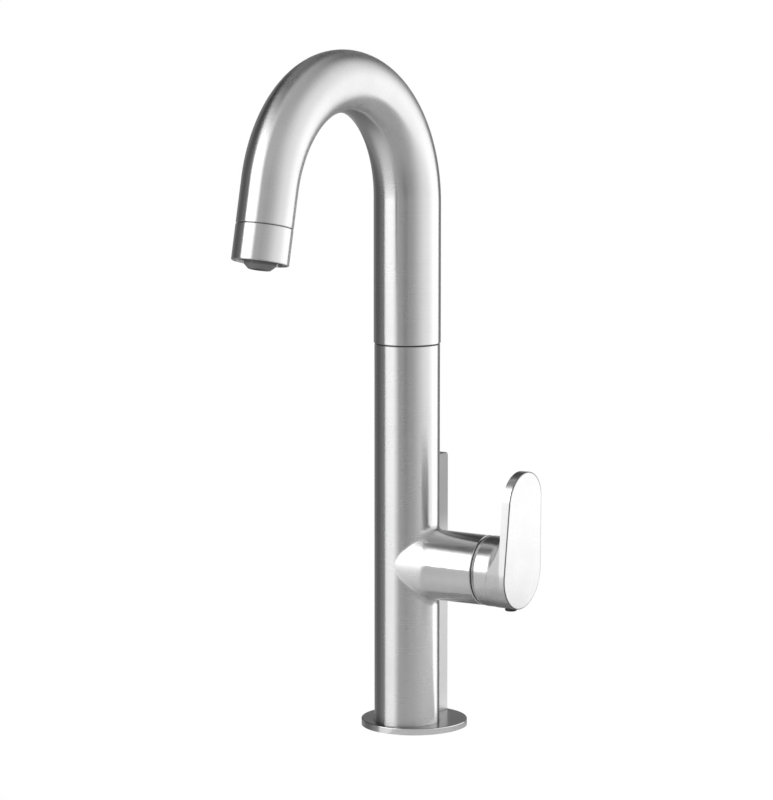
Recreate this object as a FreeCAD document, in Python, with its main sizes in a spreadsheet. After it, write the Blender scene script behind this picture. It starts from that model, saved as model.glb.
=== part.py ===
import FreeCAD, Part
import math
import os
import re

import Sketcher
from FreeCAD import Vector

# A pull-down bar faucet in its own frame: millimetres, +Z up, the spout to the front (-Y),
# the lever on the right (+X). The origin lies on the column's axis, on the deck under the flange.

# The driving dimensions: alias, value and meaning
SIZES = (
    # Column, flange and spine
    ("column_radius", 19.0, "outside radius of the column"),
    ("column_wall", 2.0, "wall of the column"),
    ("seam_height", 222.0, "height of the seam that the spout turns on"),
    ("flange_radius", 31.0, "radius of the round base flange"),
    ("flange_offset", 8.0, "how far the flange's centre lies behind the column's axis"),
    ("flange_thickness", 3.8, "thickness of the base flange"),
    ("flange_edge", 0.5, "rounding of the flange's upper edge"),
    ("gasket_inner", 25.6, "inner radius of the gasket under the flange"),
    ("gasket_width", 3.0, "width of the gasket"),
    ("gasket_thickness", 1.5, "thickness of the gasket"),
    ("spine_thickness", 10.0, "thickness of the spine behind the column"),
    ("spine_back", 37.2, "distance from the column's axis to the back of the spine"),
    ("spine_top", 158.0, "height of the spine's top"),
    ("spine_round", 2.0, "rounding of the spine's top rear corner"),
    ("relief_depth", 2.0, "how deep the spine is cut in beside the hub's blend"),
    ("edge_break", 0.4, "small chamfer on visible edges"),
    ("overshoot", 1.0, "how far a cutting shape reaches past the face it cuts"),
    # Hardware under the deck
    ("shank_radius", 16.4, "outside radius of the threaded shank"),
    ("shank_bore", 14.4, "bore of the shank"),
    ("shank_length", 62.0, "length of the shank below the deck"),
    ("shank_spigot", 14.0, "length of the shank inside the column"),
    ("deck_thickness", 30.0, "thickness of the deck that the faucet is clamped to"),
    ("washer_radius", 26.0, "radius of the clamping washers"),
    ("rubber_thickness", 3.0, "thickness of the rubber washer"),
    ("steel_thickness", 2.0, "thickness of the steel washer"),
    ("nut_flats", 44.0, "width across the flats of the lock nut"),
    ("nut_thickness", 9.0, "thickness of the lock nut"),
    ("guide_length", 12.0, "length of the hose guide in the mouth of the shank"),
    ("guide_hole", 3.4, "radius of the holes in the hose guide for the water tubes"),
    ("guide_mouth", 5.6, "width of the mouths through which the tubes snap into those holes"),
    # Swivel
    ("glide_thickness", 0.8, "thickness of the glide ring in the seam"),
    ("glide_recess", 0.4, "how far the glide ring lies inside the column's surface"),
    ("post_radius", 13.6, "outside radius of the swivel post"),
    ("post_bore", 10.6, "bore of the swivel post"),
    ("post_depth", 20.0, "length of the post inside the column"),
    ("post_rise", 38.0, "height of the post above the seam"),
    ("bush_height", 7.0, "height of each bush"),
    ("bush_seat", 0.6, "depth of the grooves that hold the bushes"),
    ("bush_clearance", 1.5, "radial space between the post and the collar, filled by the bushes"),
    ("lower_bush_rise", 2.0, "height of the lower bush above the seam"),
    ("upper_bush_rise", 20.0, "height of the upper bush above the seam"),
    ("clip_rise", 29.5, "height of the retaining clip above the seam"),
    ("clip_thickness", 1.2, "thickness of the retaining clip"),
    ("clip_bite", 0.9, "how far the clip reaches into the collar's groove"),
    ("clip_gap", 4.0, "width of the gap in the retaining clip"),
    ("stop_rise", 34.0, "height of the swivel stop above the seam"),
    ("stop_height", 3.0, "height of the swivel stop"),
    ("stop_width", 5.0, "width of the lug that stops the swivel"),
    ("swivel_reach", 70.0, "degrees that the spout turns to each side"),
    ("stop_slack", 1.0, "degrees of slack at each end of the swivel"),
    # Spout
    ("spout_root_radius", 19.4, "radius of the spout at its root"),
    ("spout_end_radius", 15.8, "radius of the spout at its outlet and of the spray head"),
    ("spout_wall", 1.6, "wall of the spout"),
    ("arch_height", 308.0, "height at which the arch begins"),
    ("arch_radius", 70.0, "centreline radius of the arch"),
    ("arch_sweep", 167.0, "degrees of the arch"),
    ("outlet_run", 22.0, "straight run from the arch to the spray head's seam"),
    ("head_gap", 0.3, "width of the spray head's seam"),
    # Dock and hose
    ("neck_radius", 10.4, "radius of the spray head's neck"),
    ("neck_length", 19.0, "length of the neck above the seam"),
    ("dock_length", 20.4, "length of the dock"),
    ("magnet_length", 4.0, "length of the dock magnet"),
    ("magnet_wall", 1.2, "wall of the dock round the magnet"),
    ("hose_radius", 5.5, "radius of the spray hose"),
    ("hose_lead", 8.0, "straight run of the hose where the arch has already begun"),
    ("hose_seat", 6.0, "length of the hose inside its ferrule"),
    # Spray head
    ("head_length", 20.0, "visible length of the spray head"),
    ("shell_wall", 1.4, "wall of the spray head's shell"),
    ("shell_lip", 0.6, "rounding of the shell's lower rim"),
    ("catch_thickness", 1.6, "thickness of the steel ring that the magnet holds"),
    ("face_recess", 1.5, "depth of the spray face inside the shell"),
    ("face_thickness", 2.0, "thickness of the spray face"),
    ("aerator_radius", 9.0, "radius of the aerator"),
    ("aerator_reach", 4.6, "how far the aerator stands out of the shell"),
    ("aerator_length", 16.5, "length of the aerator"),
    ("aerator_wall", 1.3, "wall of the aerator"),
    ("aerator_slots", 4, "number of key slots in the aerator's rim"),
    ("slot_width", 2.2, "width of each key slot"),
    ("slot_depth", 1.8, "depth of each key slot"),
    ("screen_thickness", 1.2, "thickness of the aerator screen"),
    ("screen_recess", 1.0, "depth of the screen inside the aerator's rim"),
    ("screen_hole", 0.8, "radius of the screen's holes"),
    ("screen_pitch", 2.7, "distance between the rings of holes in the screen"),
    ("screen_holes", 6, "holes in the inner ring of the screen; the next ring has twice as many"),
    ("seal_thickness", 1.5, "thickness of the spray head's flat seals"),
    ("waterway_radius", 3.6, "radius of the waterway through the spray head"),
    ("inlet_radius", 7.4, "radius of the neck's socket for the hose fitting"),
    ("inlet_depth", 8.0, "depth of the neck's socket for the hose fitting"),
    ("fitting_flats", 16.0, "width across the flats of the hose fitting"),
    ("fitting_flange", 2.5, "thickness of the hose fitting's hexagon"),
    ("ferrule_length", 8.5, "length of the crimped ferrule"),
    ("ferrule_wall", 1.5, "wall of the ferrule"),
    ("check_radius", 5.2, "radius of the check valve"),
    ("check_length", 7.0, "length of the check valve"),
    # Hub and valve
    ("hub_height", 98.0, "height of the hub's axis"),
    ("hub_radius", 20.1, "radius of the hub at its end"),
    ("hub_root_width", 18.6, "half width of the hub where it leaves the column"),
    ("hub_root_height", 20.5, "half height of the hub where it leaves the column"),
    ("hub_reach", 54.6, "distance from the column's axis to the hub's end"),
    ("hub_blend", 4.0, "radius of the blend between hub and column"),
    ("valve_bore", 17.6, "bore of the hub for the valve"),
    ("seat_depth", 32.6, "depth of the shoulder in the bore from the hub's end"),
    ("core_bore", 16.1, "bore behind the shoulder"),
    ("core_depth", 22.6, "depth of the valve core's front from the hub's end"),
    ("core_back", 5.0, "how far the valve core reaches behind the column's axis"),
    ("hose_channel", 6.2, "radius of the channel that passes the hose through the valve core"),
    ("port_offset", 10.6, "distance of the two inlets and the outlet from the column's axis"),
    ("port_radius", 3.2, "radius of the inlets and the outlet"),
    ("port_seat", 3.9, "radius of the flat seat round each inlet and the outlet"),
    ("inlet_mouth", 7.5, "depth of the inlets' mouths below the hub's axis"),
    ("inlet_thread", 9.0, "length of the thread in each inlet"),
    ("inlet_rise", 6.0, "height of the inlet passages above the hub's axis"),
    ("outlet_mouth", 14.5, "depth of the outlet's mouth below the hub's axis"),
    ("outlet_thread", 7.5, "length of the thread in the outlet"),
    ("outlet_drop", 4.0, "depth of the outlet passage below the hub's axis"),
    ("passage_radius", 2.2, "radius of the passages from the ports to the cartridge"),
    ("rise_radius", 2.7, "radius of the short bores that join each thread to its passage"),
    ("seal_disc", 0.8, "thickness of the port seal"),
    ("cartridge_plate", 2.7, "thickness of the cartridge's base plate"),
    ("disc_radius", 14.0, "radius of the ceramic discs"),
    ("disc_thickness", 3.4, "thickness of each ceramic disc"),
    ("drive_thickness", 3.4, "thickness of the plate at the stem's foot"),
    ("housing_wall", 2.4, "wall of the cartridge housing"),
    ("housing_neck", 10.0, "radius of the housing's neck"),
    ("neck_rise", 4.0, "length of the housing's neck"),
    ("stem_radius", 5.0, "radius of the valve stem"),
    ("stem_square", 7.0, "width of the stem's square end"),
    ("ring_nut_length", 5.0, "length of the ring nut that holds the cartridge"),
    ("ring_nut_slots", 4, "number of slots in the ring nut"),
    ("ring_nut_rim", 2.0, "width of the ring nut's rim outside its slots"),
    ("ring_recess", 0.8, "how far the trim ring lies inside the hub's surface"),
    ("trim_width", 3.0, "how far the trim ring reaches inside the lever's hollow"),
    # Lever
    ("lever_gap", 0.9, "gap between the hub and the lever"),
    ("skirt_radius", 20.25, "radius of the lever's skirt"),
    ("lever_radius", 20.45, "radius of the blade's rounded foot"),
    ("lever_depth", 22.4, "distance from the lever's rear edge to its outer face"),
    ("lever_thickness", 4.5, "thickness of the lever's blade"),
    ("lever_lean", 2.5, "degrees that the blade leans outwards"),
    ("lever_top", 59.0, "height of the lever's top above the hub's axis"),
    ("lever_top_radius", 16.8, "radius of the lever's rounded top"),
    ("lever_blend", 9.0, "radius of the blend between skirt and blade"),
    ("lever_edge", 0.5, "rounding of the blade's edges"),
    ("skirt_bevel_length", 2.0, "length of the bevel on the skirt's rear edge"),
    ("skirt_bevel_depth", 0.6, "depth of the bevel on the skirt's rear edge"),
    ("skirt_hollow", 17.2, "radius of the hollow in the skirt"),
    ("skirt_depth", 10.5, "depth of the hollow in the skirt"),
    ("socket_depth", 8.0, "depth of the square socket for the stem"),
    ("screw_ahead", 70.3, "distance of the clamping screw from the column's axis"),
    ("screw_radius", 2.5, "radius of the clamping screw"),
    ("screw_length", 11.0, "length of the clamping screw"),
    ("cap_radius", 3.4, "radius of the cap under the lever"),
    ("cap_depth", 3.0, "depth of the cap inside the lever"),
    ("cap_rise", 1.5, "how far the cap stands out of the lever"),
    # Clearances
    ("fit_gap", 0.02, "radial clearance of pieces that are pressed, brazed or screwed together"),
    ("running_gap", 0.05, "radial clearance of pieces that turn in each other"),
    ("sliding_gap", 0.2, "radial clearance of the neck in its dock"),
    ("face_gap", 0.1, "clearance between faces that move past each other"),
)

doc = FreeCAD.newDocument("pull_down_bar_faucet")
sizes = doc.addObject("Spreadsheet::Sheet", "Sizes")
places = doc.addObject("Spreadsheet::Sheet", "Places")
sheet_of = {}


def enter(sheet, row, alias, content, meaning):
    """Write one named value and what it means in a row of a sheet."""
    sheet.set(f"A{row}", meaning)
    sheet.set(f"B{row}", content)
    sheet.setAlias(f"B{row}", alias)
    sheet_of[alias] = sheet.Name


for row, (alias, number, meaning) in enumerate(SIZES, 1):
    enter(sizes, row, alias, str(number), meaning)


def linked(formula):
    """The formula with each named value given as a cell of its sheet."""
    def cell(found):
        word = found.group(0)
        return f"{sheet_of[word]}.{word}" if word in sheet_of else word
    return re.sub(r"[a-z][a-z_]+", cell, formula)


def place(alias, formula, meaning):
    """A size or place that follows from the driving dimensions."""
    row = 1 + sum(1 for owner in sheet_of.values() if owner == places.Name)
    enter(places, row, alias, "=" + linked(formula), meaning)


def value(formula):
    """What a formula comes to now."""
    return float(places.evalExpression(linked(formula)))


place("column_bore", "column_radius - column_wall", "bore of the column")
place("column_top", "seam_height - glide_thickness / 2", "top of the column")
place("spout_base", "seam_height + glide_thickness / 2", "foot of the spout")
place("spine_side", "spine_thickness / 2", "half the spine's thickness")
place("gasket_outer", "gasket_inner + gasket_width", "outer radius of the gasket")
place("washer_top", "0 - deck_thickness", "underside of the deck")
place("washer_seam", "washer_top - rubber_thickness", "seam between the two washers")
place("nut_top", "washer_seam - steel_thickness", "top of the lock nut")
place("shank_foot", "0 - shank_length", "lower end of the shank")
place("collar_radius", "spout_root_radius - spout_wall - fit_gap", "outside of the swivel collar")
place("collar_bore", "post_radius + bush_clearance", "bore of the swivel collar")
place("stop_bore", "post_radius + running_gap + face_gap * 3", "bore of the collar's stop web")
place("post_top", "seam_height + post_rise", "top of the swivel post")
place("clip_height", "seam_height + clip_rise", "underside of the retaining clip")
place("stop_height_low", "seam_height + stop_rise", "underside of the swivel stop")
place("stop_half", "stop_width / 2", "half width of the stop lug")
place("stop_angle", "swivel_reach + asin(stop_half / stop_bore) / 1 deg + stop_slack",
      "half angle of the stop's slot")
place("arc_end_y", "arch_radius * (cos(arch_sweep) - 1)", "where the arch ends, front to back")
place("arc_end_z", "arch_height + arch_radius * sin(arch_sweep)", "where the arch ends, in height")
place("outlet_y", "arc_end_y - outlet_run * sin(arch_sweep)", "the spray head's seam, front to back")
place("outlet_z", "arc_end_z + outlet_run * cos(arch_sweep)", "the spray head's seam, in height")
place("outlet_bore", "spout_end_radius - spout_wall", "bore of the spout at its outlet")
place("dock_bore", "neck_radius + sliding_gap", "bore of the dock")
place("dock_foot", "head_gap / 2 - running_gap", "lower end of the dock, from the seam")
place("dock_head", "dock_foot - dock_length", "upper end of the dock, from the seam")
place("magnet_head", "dock_foot - magnet_length", "upper face of the dock magnet")
place("magnet_outer", "outlet_bore - magnet_wall", "outer radius of the magnet's pocket")
place("hose_bend", "arch_radius - hose_lead / tan(arch_sweep / 2)", "bend radius of the hose")
place("hose_crown", "arch_height + hose_lead", "height at which the hose's bend begins")
place("head_top", "head_gap / 2", "top of the spray head, from the seam")
place("shell_bore", "spout_end_radius - shell_wall", "bore of the spray head's shell")
place("face_foot", "head_length - face_recess", "lower side of the spray face")
place("face_head", "face_foot - face_thickness", "upper side of the spray face")
place("aerator_foot", "head_length + aerator_reach", "lower end of the aerator")
place("aerator_head", "aerator_foot - aerator_length", "upper end of the aerator")
place("aerator_bore", "aerator_radius - aerator_wall", "bore of the aerator")
place("screen_head", "aerator_foot - screen_recess - screen_thickness", "upper side of the screen")
place("seal_head", "aerator_head - seal_thickness", "upper side of the aerator's seal")
place("catch_foot", "head_top + catch_thickness", "lower side of the catch ring")
place("neck_top", "0 - neck_length", "top of the spray head's neck")
place("inlet_floor", "neck_top + inlet_depth", "floor of the neck's socket")
place("inlet_seal", "inlet_floor - seal_thickness", "upper side of the hose seal")
place("fitting_top", "neck_top - fitting_flange", "upper side of the hose fitting's hexagon")
place("ferrule_bore", "hose_radius + sliding_gap", "bore of the ferrule")
place("ferrule_top", "fitting_top - ferrule_length", "upper end of the ferrule")
place("hose_end", "ferrule_top + hose_seat", "lower end of the hose, from the seam")
place("check_foot", "inlet_floor + check_length", "lower end of the check valve")
place("valve_seat", "hub_reach - seat_depth", "shoulder of the hub's bore")
place("core_front", "hub_reach - core_depth", "front of the valve core")
place("seal_front", "core_front + seal_disc", "front of the port seal")
place("plate_front", "seal_front + cartridge_plate", "front of the cartridge's base plate")
place("fixed_front", "plate_front + disc_thickness", "front of the fixed disc")
place("moving_back", "fixed_front + face_gap / 2", "back of the moving disc")
place("drive_back", "moving_back + disc_thickness", "back of the stem's plate")
place("drive_front", "drive_back + drive_thickness", "front of the stem's plate")
place("cover_back", "drive_front + face_gap", "inside of the housing's cover")
place("cover_front", "cover_back + housing_wall", "outside of the housing's cover")
place("housing_radius", "valve_bore - fit_gap", "radius of the cartridge housing")
place("housing_bore", "housing_radius - housing_wall", "bore of the cartridge housing")
place("ring_nut_front", "cover_front + ring_nut_length", "front of the ring nut")
place("lever_back", "hub_reach + lever_gap", "rear edge of the lever")
place("lever_face", "lever_back + lever_depth", "outer face of the lever at the hub's height")
place("hollow_floor", "lever_back + skirt_depth", "floor of the skirt's hollow")
place("lever_foot", "hub_height - lever_radius", "underside of the blade's foot")
place("lever_top_centre", "hub_height + lever_top - lever_top_radius", "centre of the rounded top")
doc.recompute()

# How a piece lies: upright, along the hub, or along the outlet from the spray head's seam
UPRIGHT = "placement(vector(0; 0; 0); rotation(vector(0; 0; 1); 0))"
ON_HUB = "placement(vector(0; 0; hub_height); rotation(vector(0; 1; 0); 90))"
ON_OUTLET = "placement(vector(0; outlet_y; outlet_z); rotation(vector(1; 0; 0); arch_sweep))"
ARC_END = "placement(vector(0; arc_end_y; arc_end_z); rotation(vector(1; 0; 0); arch_sweep))"


def bind(thing, field, formula):
    """Tie one property of an object to the sheets."""
    thing.setExpression(field, linked(formula))


def new_body(name, seat=UPRIGHT):
    """An empty sub-part that lies as seat says."""
    body = doc.addObject("PartDesign::Body", name)
    body.Label = name
    bind(body, "Placement", seat)
    return body


def new_sketch(body, name, role, offset="0", seat=None):
    """An empty sketch on one of the body's own planes, moved along its normal or seated on it."""
    sketch = body.newObject("Sketcher::SketchObject", f"{body.Name}_{name}")
    planes = [plane for plane in body.Origin.OriginFeatures if plane.Role == role]
    sketch.AttachmentSupport = [(planes[0], "")]
    sketch.MapMode = "FlatFace"
    shift = f"placement(vector(0; 0; {offset}); rotation(vector(0; 0; 1); 0))"
    bind(sketch, "AttachmentOffset", seat or shift)
    return sketch


def hold(sketch, kind, item, point, formula):
    """Fix one point of a sketch at a named distance from the sketch's origin."""
    if formula == "0":
        axis = -2 if kind == "DistanceX" else -1
        sketch.addConstraint(Sketcher.Constraint("PointOnObject", item, point, axis))
        return
    index = sketch.addConstraint(Sketcher.Constraint(kind, -1, 1, item, point, value(formula)))
    bind(sketch, f"Constraints[{index}]", formula)


def add_circle(sketch, radius, across="0", up="0"):
    """A circle of a named radius about a named point."""
    centre = Vector(value(across), value(up), 0)
    item = sketch.addGeometry(Part.Circle(centre, Vector(0, 0, 1), value(radius)), False)
    hold(sketch, "DistanceX", item, 3, across)
    hold(sketch, "DistanceY", item, 3, up)
    index = sketch.addConstraint(Sketcher.Constraint("Radius", item, value(radius)))
    bind(sketch, f"Constraints[{index}]", radius)


def add_outline(sketch, outline):
    """A closed outline of straight edges through named points."""
    points = [Vector(value(across), value(up), 0) for across, up in outline]
    first = sketch.GeometryCount
    count = len(points)
    for step in range(count):
        edge = Part.LineSegment(points[step], points[(step + 1) % count])
        sketch.addGeometry(edge, False)
    for step, (across, up) in enumerate(outline):
        before = first + (step - 1) % count
        sketch.addConstraint(Sketcher.Constraint("Coincident", before, 2, first + step, 1))
        hold(sketch, "DistanceX", first + step, 1, across)
        hold(sketch, "DistanceY", first + step, 1, up)


def solid_volume(body):
    """The volume of what the body holds so far."""
    doc.recompute()
    return body.Shape.Volume if body.Tip else 0.0


def feature(body, kind, name, sketch):
    """A feature of a body that is drawn from a sketch."""
    made = body.newObject(f"PartDesign::{kind}", f"{body.Name}_{name}")
    made.Profile = sketch
    return made


def pad(body, name, sketch, length, backwards=False):
    """Material added along the sketch's normal."""
    made = feature(body, "Pad", name, sketch)
    made.Reversed = backwards
    bind(made, "Length", length)
    doc.recompute()
    return made


def pocket(body, name, sketch, length=None, forwards=False):
    """Material cut away to a depth, or right through to both sides."""
    before = solid_volume(body)
    made = feature(body, "Pocket", name, sketch)
    if length is None:
        made.Type = "ThroughAll"
        made.Midplane = True
    else:
        made.Reversed = forwards
        bind(made, "Length", length)
    after = solid_volume(body)
    if not after < before:
        raise RuntimeError(f"{made.Name} cuts nothing")
    return made


def turned(name, outline, seat=UPRIGHT):
    """A turned piece: half its section, as radius and height, spun about its own axis."""
    body = new_body(name, seat)
    section = new_sketch(body, "section", "XZ_Plane")
    add_outline(section, outline)
    spin = feature(body, "Revolution", "turned", section)
    spin.ReferenceAxis = (section, ["V_Axis"])
    spin.Angle = 360
    doc.recompute()
    return body


def ring(name, inner, outer, low, high, seat=UPRIGHT):
    """A plain turned ring, or a disc where inner is 0."""
    return turned(name, [(inner, low), (outer, low), (outer, high), (inner, high)], seat)


def drill(body, name, radius, across, up, offset="0", depth=None, role="XY_Plane", forwards=False):
    """A round hole at a named point, right through or to a depth."""
    sketch = new_sketch(body, name + "_circle", role, offset)
    add_circle(sketch, radius, across, up)
    return pocket(body, name, sketch, depth, forwards)


def round_pattern(body, original, count):
    """Copies of a feature spaced evenly round the piece's own axis."""
    pattern = body.newObject("PartDesign::PolarPattern", f"{original.Name}_pattern")
    pattern.Originals = [original]
    axes = [axis for axis in body.Origin.OriginFeatures if axis.Role == "Z_Axis"]
    pattern.Axis = (axes[0], [""])
    pattern.Angle = 360
    bind(pattern, "Occurrences", count)
    body.Tip = pattern
    doc.recompute()
    return pattern


def hexagon(flats):
    """The six corners of a hexagon of a named width across its flats."""
    reach = f"{flats} / 2 / cos(30)"
    corners = [(f"{reach} * cos({turn})", f"{reach} * sin({turn})") for turn in (30, 150, 210, 330)]
    corners.insert(1, ("0", reach))
    corners.insert(4, ("0", f"0 - {reach}"))
    return corners


def edges_where(body, test):
    """Names of the edges of a body's last feature that pass a test."""
    doc.recompute()
    return [f"Edge{number}" for number, edge in enumerate(body.Tip.Shape.Edges, 1) if test(edge)]


def dress(body, kind, name, field, formula, test):
    """A fillet or chamfer of a named size on the edges that pass a test."""
    names = edges_where(body, test)
    base = body.Tip
    if not names:
        raise RuntimeError(f"{body.Name}: no edge for {name}")
    made = body.newObject(f"PartDesign::{kind}", f"{body.Name}_{name}")
    made.Base = (base, names)
    bind(made, field, formula)
    doc.recompute()
    return made


# How near an edge must be to where it is looked for, and how upright a level circle's axis is
NEAR = 0.01
UPRIGHT_AXIS = 0.99


def is_rim(edge, radius, height, centre=(0, 0)):
    """Whether an edge is a level circle of this radius at this height."""
    if not isinstance(edge.Curve, Part.Circle):
        return False
    middle = edge.Curve.Center
    level = abs(edge.Curve.Axis.z) > UPRIGHT_AXIS
    near = math.hypot(middle.x - centre[0], middle.y - centre[1]) < NEAR
    return level and near and abs(edge.Curve.Radius - radius) < NEAR and abs(middle.z - height) < NEAR


def make_flange():
    """The round base flange, set back so that it also carries the spine, grooved for its gasket."""
    body = new_body("base_flange")
    plate = new_sketch(body, "plate", "XY_Plane")
    add_circle(plate, "flange_radius", up="flange_offset")
    add_circle(plate, "shank_radius + sliding_gap")
    pad(body, "disc", plate, "flange_thickness")
    groove = new_sketch(body, "groove", "XY_Plane")
    add_circle(groove, "gasket_inner - fit_gap", up="flange_offset")
    add_circle(groove, "gasket_outer + fit_gap", up="flange_offset")
    pocket(body, "gasket_groove", groove, "gasket_thickness", forwards=True)
    centre = (0, value("flange_offset"))
    radius = value("flange_radius")
    top = value("flange_thickness")
    dress(body, "Fillet", "upper_edge", "Radius", "flange_edge",
          lambda edge: is_rim(edge, radius, top, centre))


def make_gasket():
    """The rubber ring that seals the flange to the deck."""
    body = new_body("flange_gasket")
    band = new_sketch(body, "band", "XY_Plane")
    add_circle(band, "gasket_inner", up="flange_offset")
    add_circle(band, "gasket_outer", up="flange_offset")
    pad(body, "band_pad", band, "gasket_thickness")


def make_column():
    """The column with its side hub, one hollow casting: the hub grows out of it with a soft blend."""
    body = new_body("column")
    foot = new_sketch(body, "foot", "XY_Plane", "flange_thickness")
    add_circle(foot, "column_radius")
    pad(body, "tube", foot, "column_top - flange_thickness")
    root = new_sketch(body, "hub_root", "YZ_Plane")
    middle = value("hub_height")
    wide = value("hub_root_width")
    tall = value("hub_root_height")
    oval = Part.Ellipse(Vector(0, middle + tall, 0), Vector(wide, middle, 0), Vector(0, middle, 0))
    root.addGeometry(oval, False)
    root.exposeInternalGeometry(0)
    hold(root, "DistanceX", 0, 3, "0")
    hold(root, "DistanceY", 0, 3, "hub_height")
    hold(root, "DistanceX", 1, 1, "0")
    hold(root, "DistanceY", 1, 1, "hub_height + hub_root_height")
    hold(root, "DistanceX", 2, 2, "hub_root_width")
    end = new_sketch(body, "hub_end", "YZ_Plane", "hub_reach")
    add_circle(end, "hub_radius", up="hub_height")
    loft = feature(body, "AdditiveLoft", "hub", root)
    loft.Sections = [end]
    doc.recompute()
    radius = value("column_radius")
    reach = value("hub_reach")

    def is_root(edge):
        spots = [edge.valueAt(edge.FirstParameter + part * (edge.LastParameter - edge.FirstParameter))
                 for part in (0.2, 0.5, 0.8)]
        on_column = all(abs(math.hypot(spot.x, spot.y) - radius) < NEAR for spot in spots)
        return on_column and not isinstance(edge.Curve, (Part.Line, Part.Circle))

    dress(body, "Fillet", "hub_blend", "Radius", "hub_blend", is_root)
    bore = new_sketch(body, "bore", "XY_Plane", "flange_thickness")
    add_circle(bore, "column_bore")
    pocket(body, "bore_cut", bore)
    drill(body, "valve_bore", "valve_bore", "0", "hub_height", "hub_reach",
          "hub_reach - valve_seat", "YZ_Plane")
    drill(body, "core_bore", "core_bore", "0", "hub_height", "valve_seat", "valve_seat", "YZ_Plane")
    top = value("column_top")
    dress(body, "Chamfer", "top_edge", "Size", "edge_break / 2",
          lambda edge: is_rim(edge, radius, top))
    hub_rim = value("hub_radius")
    dress(body, "Chamfer", "hub_edge", "Size", "edge_break",
          lambda edge: isinstance(edge.Curve, Part.Circle) and abs(edge.Curve.Radius - hub_rim) < NEAR
          and abs(edge.Curve.Center.x - reach) < NEAR)


def make_spine():
    """The flat spine behind the column, coped to it and standing on the flange."""
    body = new_body("rear_spine")
    bar = new_sketch(body, "bar", "XY_Plane", "flange_thickness")
    add_outline(bar, [("0 - spine_side", "column_radius / 2"), ("spine_side", "column_radius / 2"),
                      ("spine_side", "spine_back"), ("0 - spine_side", "spine_back")])
    pad(body, "bar_pad", bar, "spine_top - flange_thickness")
    back = value("spine_back")
    top = value("spine_top")
    dress(body, "Fillet", "top_corner", "Radius", "spine_round",
          lambda edge: edge.BoundBox.YMin > back - NEAR and edge.BoundBox.ZMin > top - NEAR)
    foot = value("flange_thickness")
    dress(body, "Chamfer", "long_edges", "Size", "edge_break",
          lambda edge: edge.BoundBox.YMin > back - NEAR and edge.BoundBox.ZLength > (top - foot) / 2)
    cope = new_sketch(body, "cope", "XY_Plane", "flange_thickness")
    add_circle(cope, "column_radius + fit_gap")
    pocket(body, "cope_cut", cope)
    relief = new_sketch(body, "relief", "XY_Plane", "hub_height + hub_root_height + hub_blend")
    add_outline(relief, [("spine_side - relief_depth", "column_radius / 2"),
                         ("spine_side + overshoot", "column_radius / 2"),
                         ("spine_side + overshoot", "column_radius + fit_gap"),
                         ("spine_side - relief_depth", "column_radius + fit_gap")])
    pocket(body, "hub_relief", relief, "2 * (hub_root_height + hub_blend)")


# Where the two inlets and the outlet of the valve core lie round the column's axis
PORTS = (("cold", "0", "0 - port_offset"), ("hot", "0", "port_offset"), ("outlet", "port_offset", "0"))


def make_deck_hardware():
    """The threaded shank, the guide in its mouth, and the washers and nut that clamp the deck."""
    turned("mounting_shank", [
        ("shank_bore", "shank_foot"), ("shank_radius - edge_break", "shank_foot"),
        ("shank_radius", "shank_foot + edge_break"), ("shank_radius", "flange_thickness"),
        ("column_bore - fit_gap", "flange_thickness"),
        ("column_bore - fit_gap", "flange_thickness + shank_spigot"),
        ("shank_bore", "flange_thickness + shank_spigot")])
    guide = ring("hose_guide", "hose_radius + sliding_gap", "shank_bore - fit_gap", "shank_foot",
                 "shank_foot + guide_length")
    half = "guide_mouth / 2"
    for name, across, up in PORTS:
        drill(guide, name, "guide_hole", across, up)
        mouth = new_sketch(guide, name + "_mouth", "XY_Plane")
        if across == "0":
            corners = [(f"0 - {half}", up), (half, up),
                       (half, f"({up}) * 2"), (f"0 - {half}", f"({up}) * 2")]
        else:
            corners = [(across, f"0 - {half}"), (f"({across}) * 2", f"0 - {half}"),
                       (f"({across}) * 2", half), (across, half)]
        add_outline(mouth, corners)
        pocket(guide, name + "_mouth_cut", mouth)
    ring("rubber_washer", "shank_radius + sliding_gap", "washer_radius", "washer_seam", "washer_top")
    ring("steel_washer", "shank_radius + sliding_gap", "washer_radius", "nut_top", "washer_seam")
    nut = new_body("lock_nut")
    flats = new_sketch(nut, "flats", "XY_Plane", "nut_top")
    add_outline(flats, hexagon("nut_flats"))
    add_circle(flats, "shank_radius + fit_gap")
    pad(nut, "hexagon", flats, "nut_thickness", backwards=True)


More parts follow.
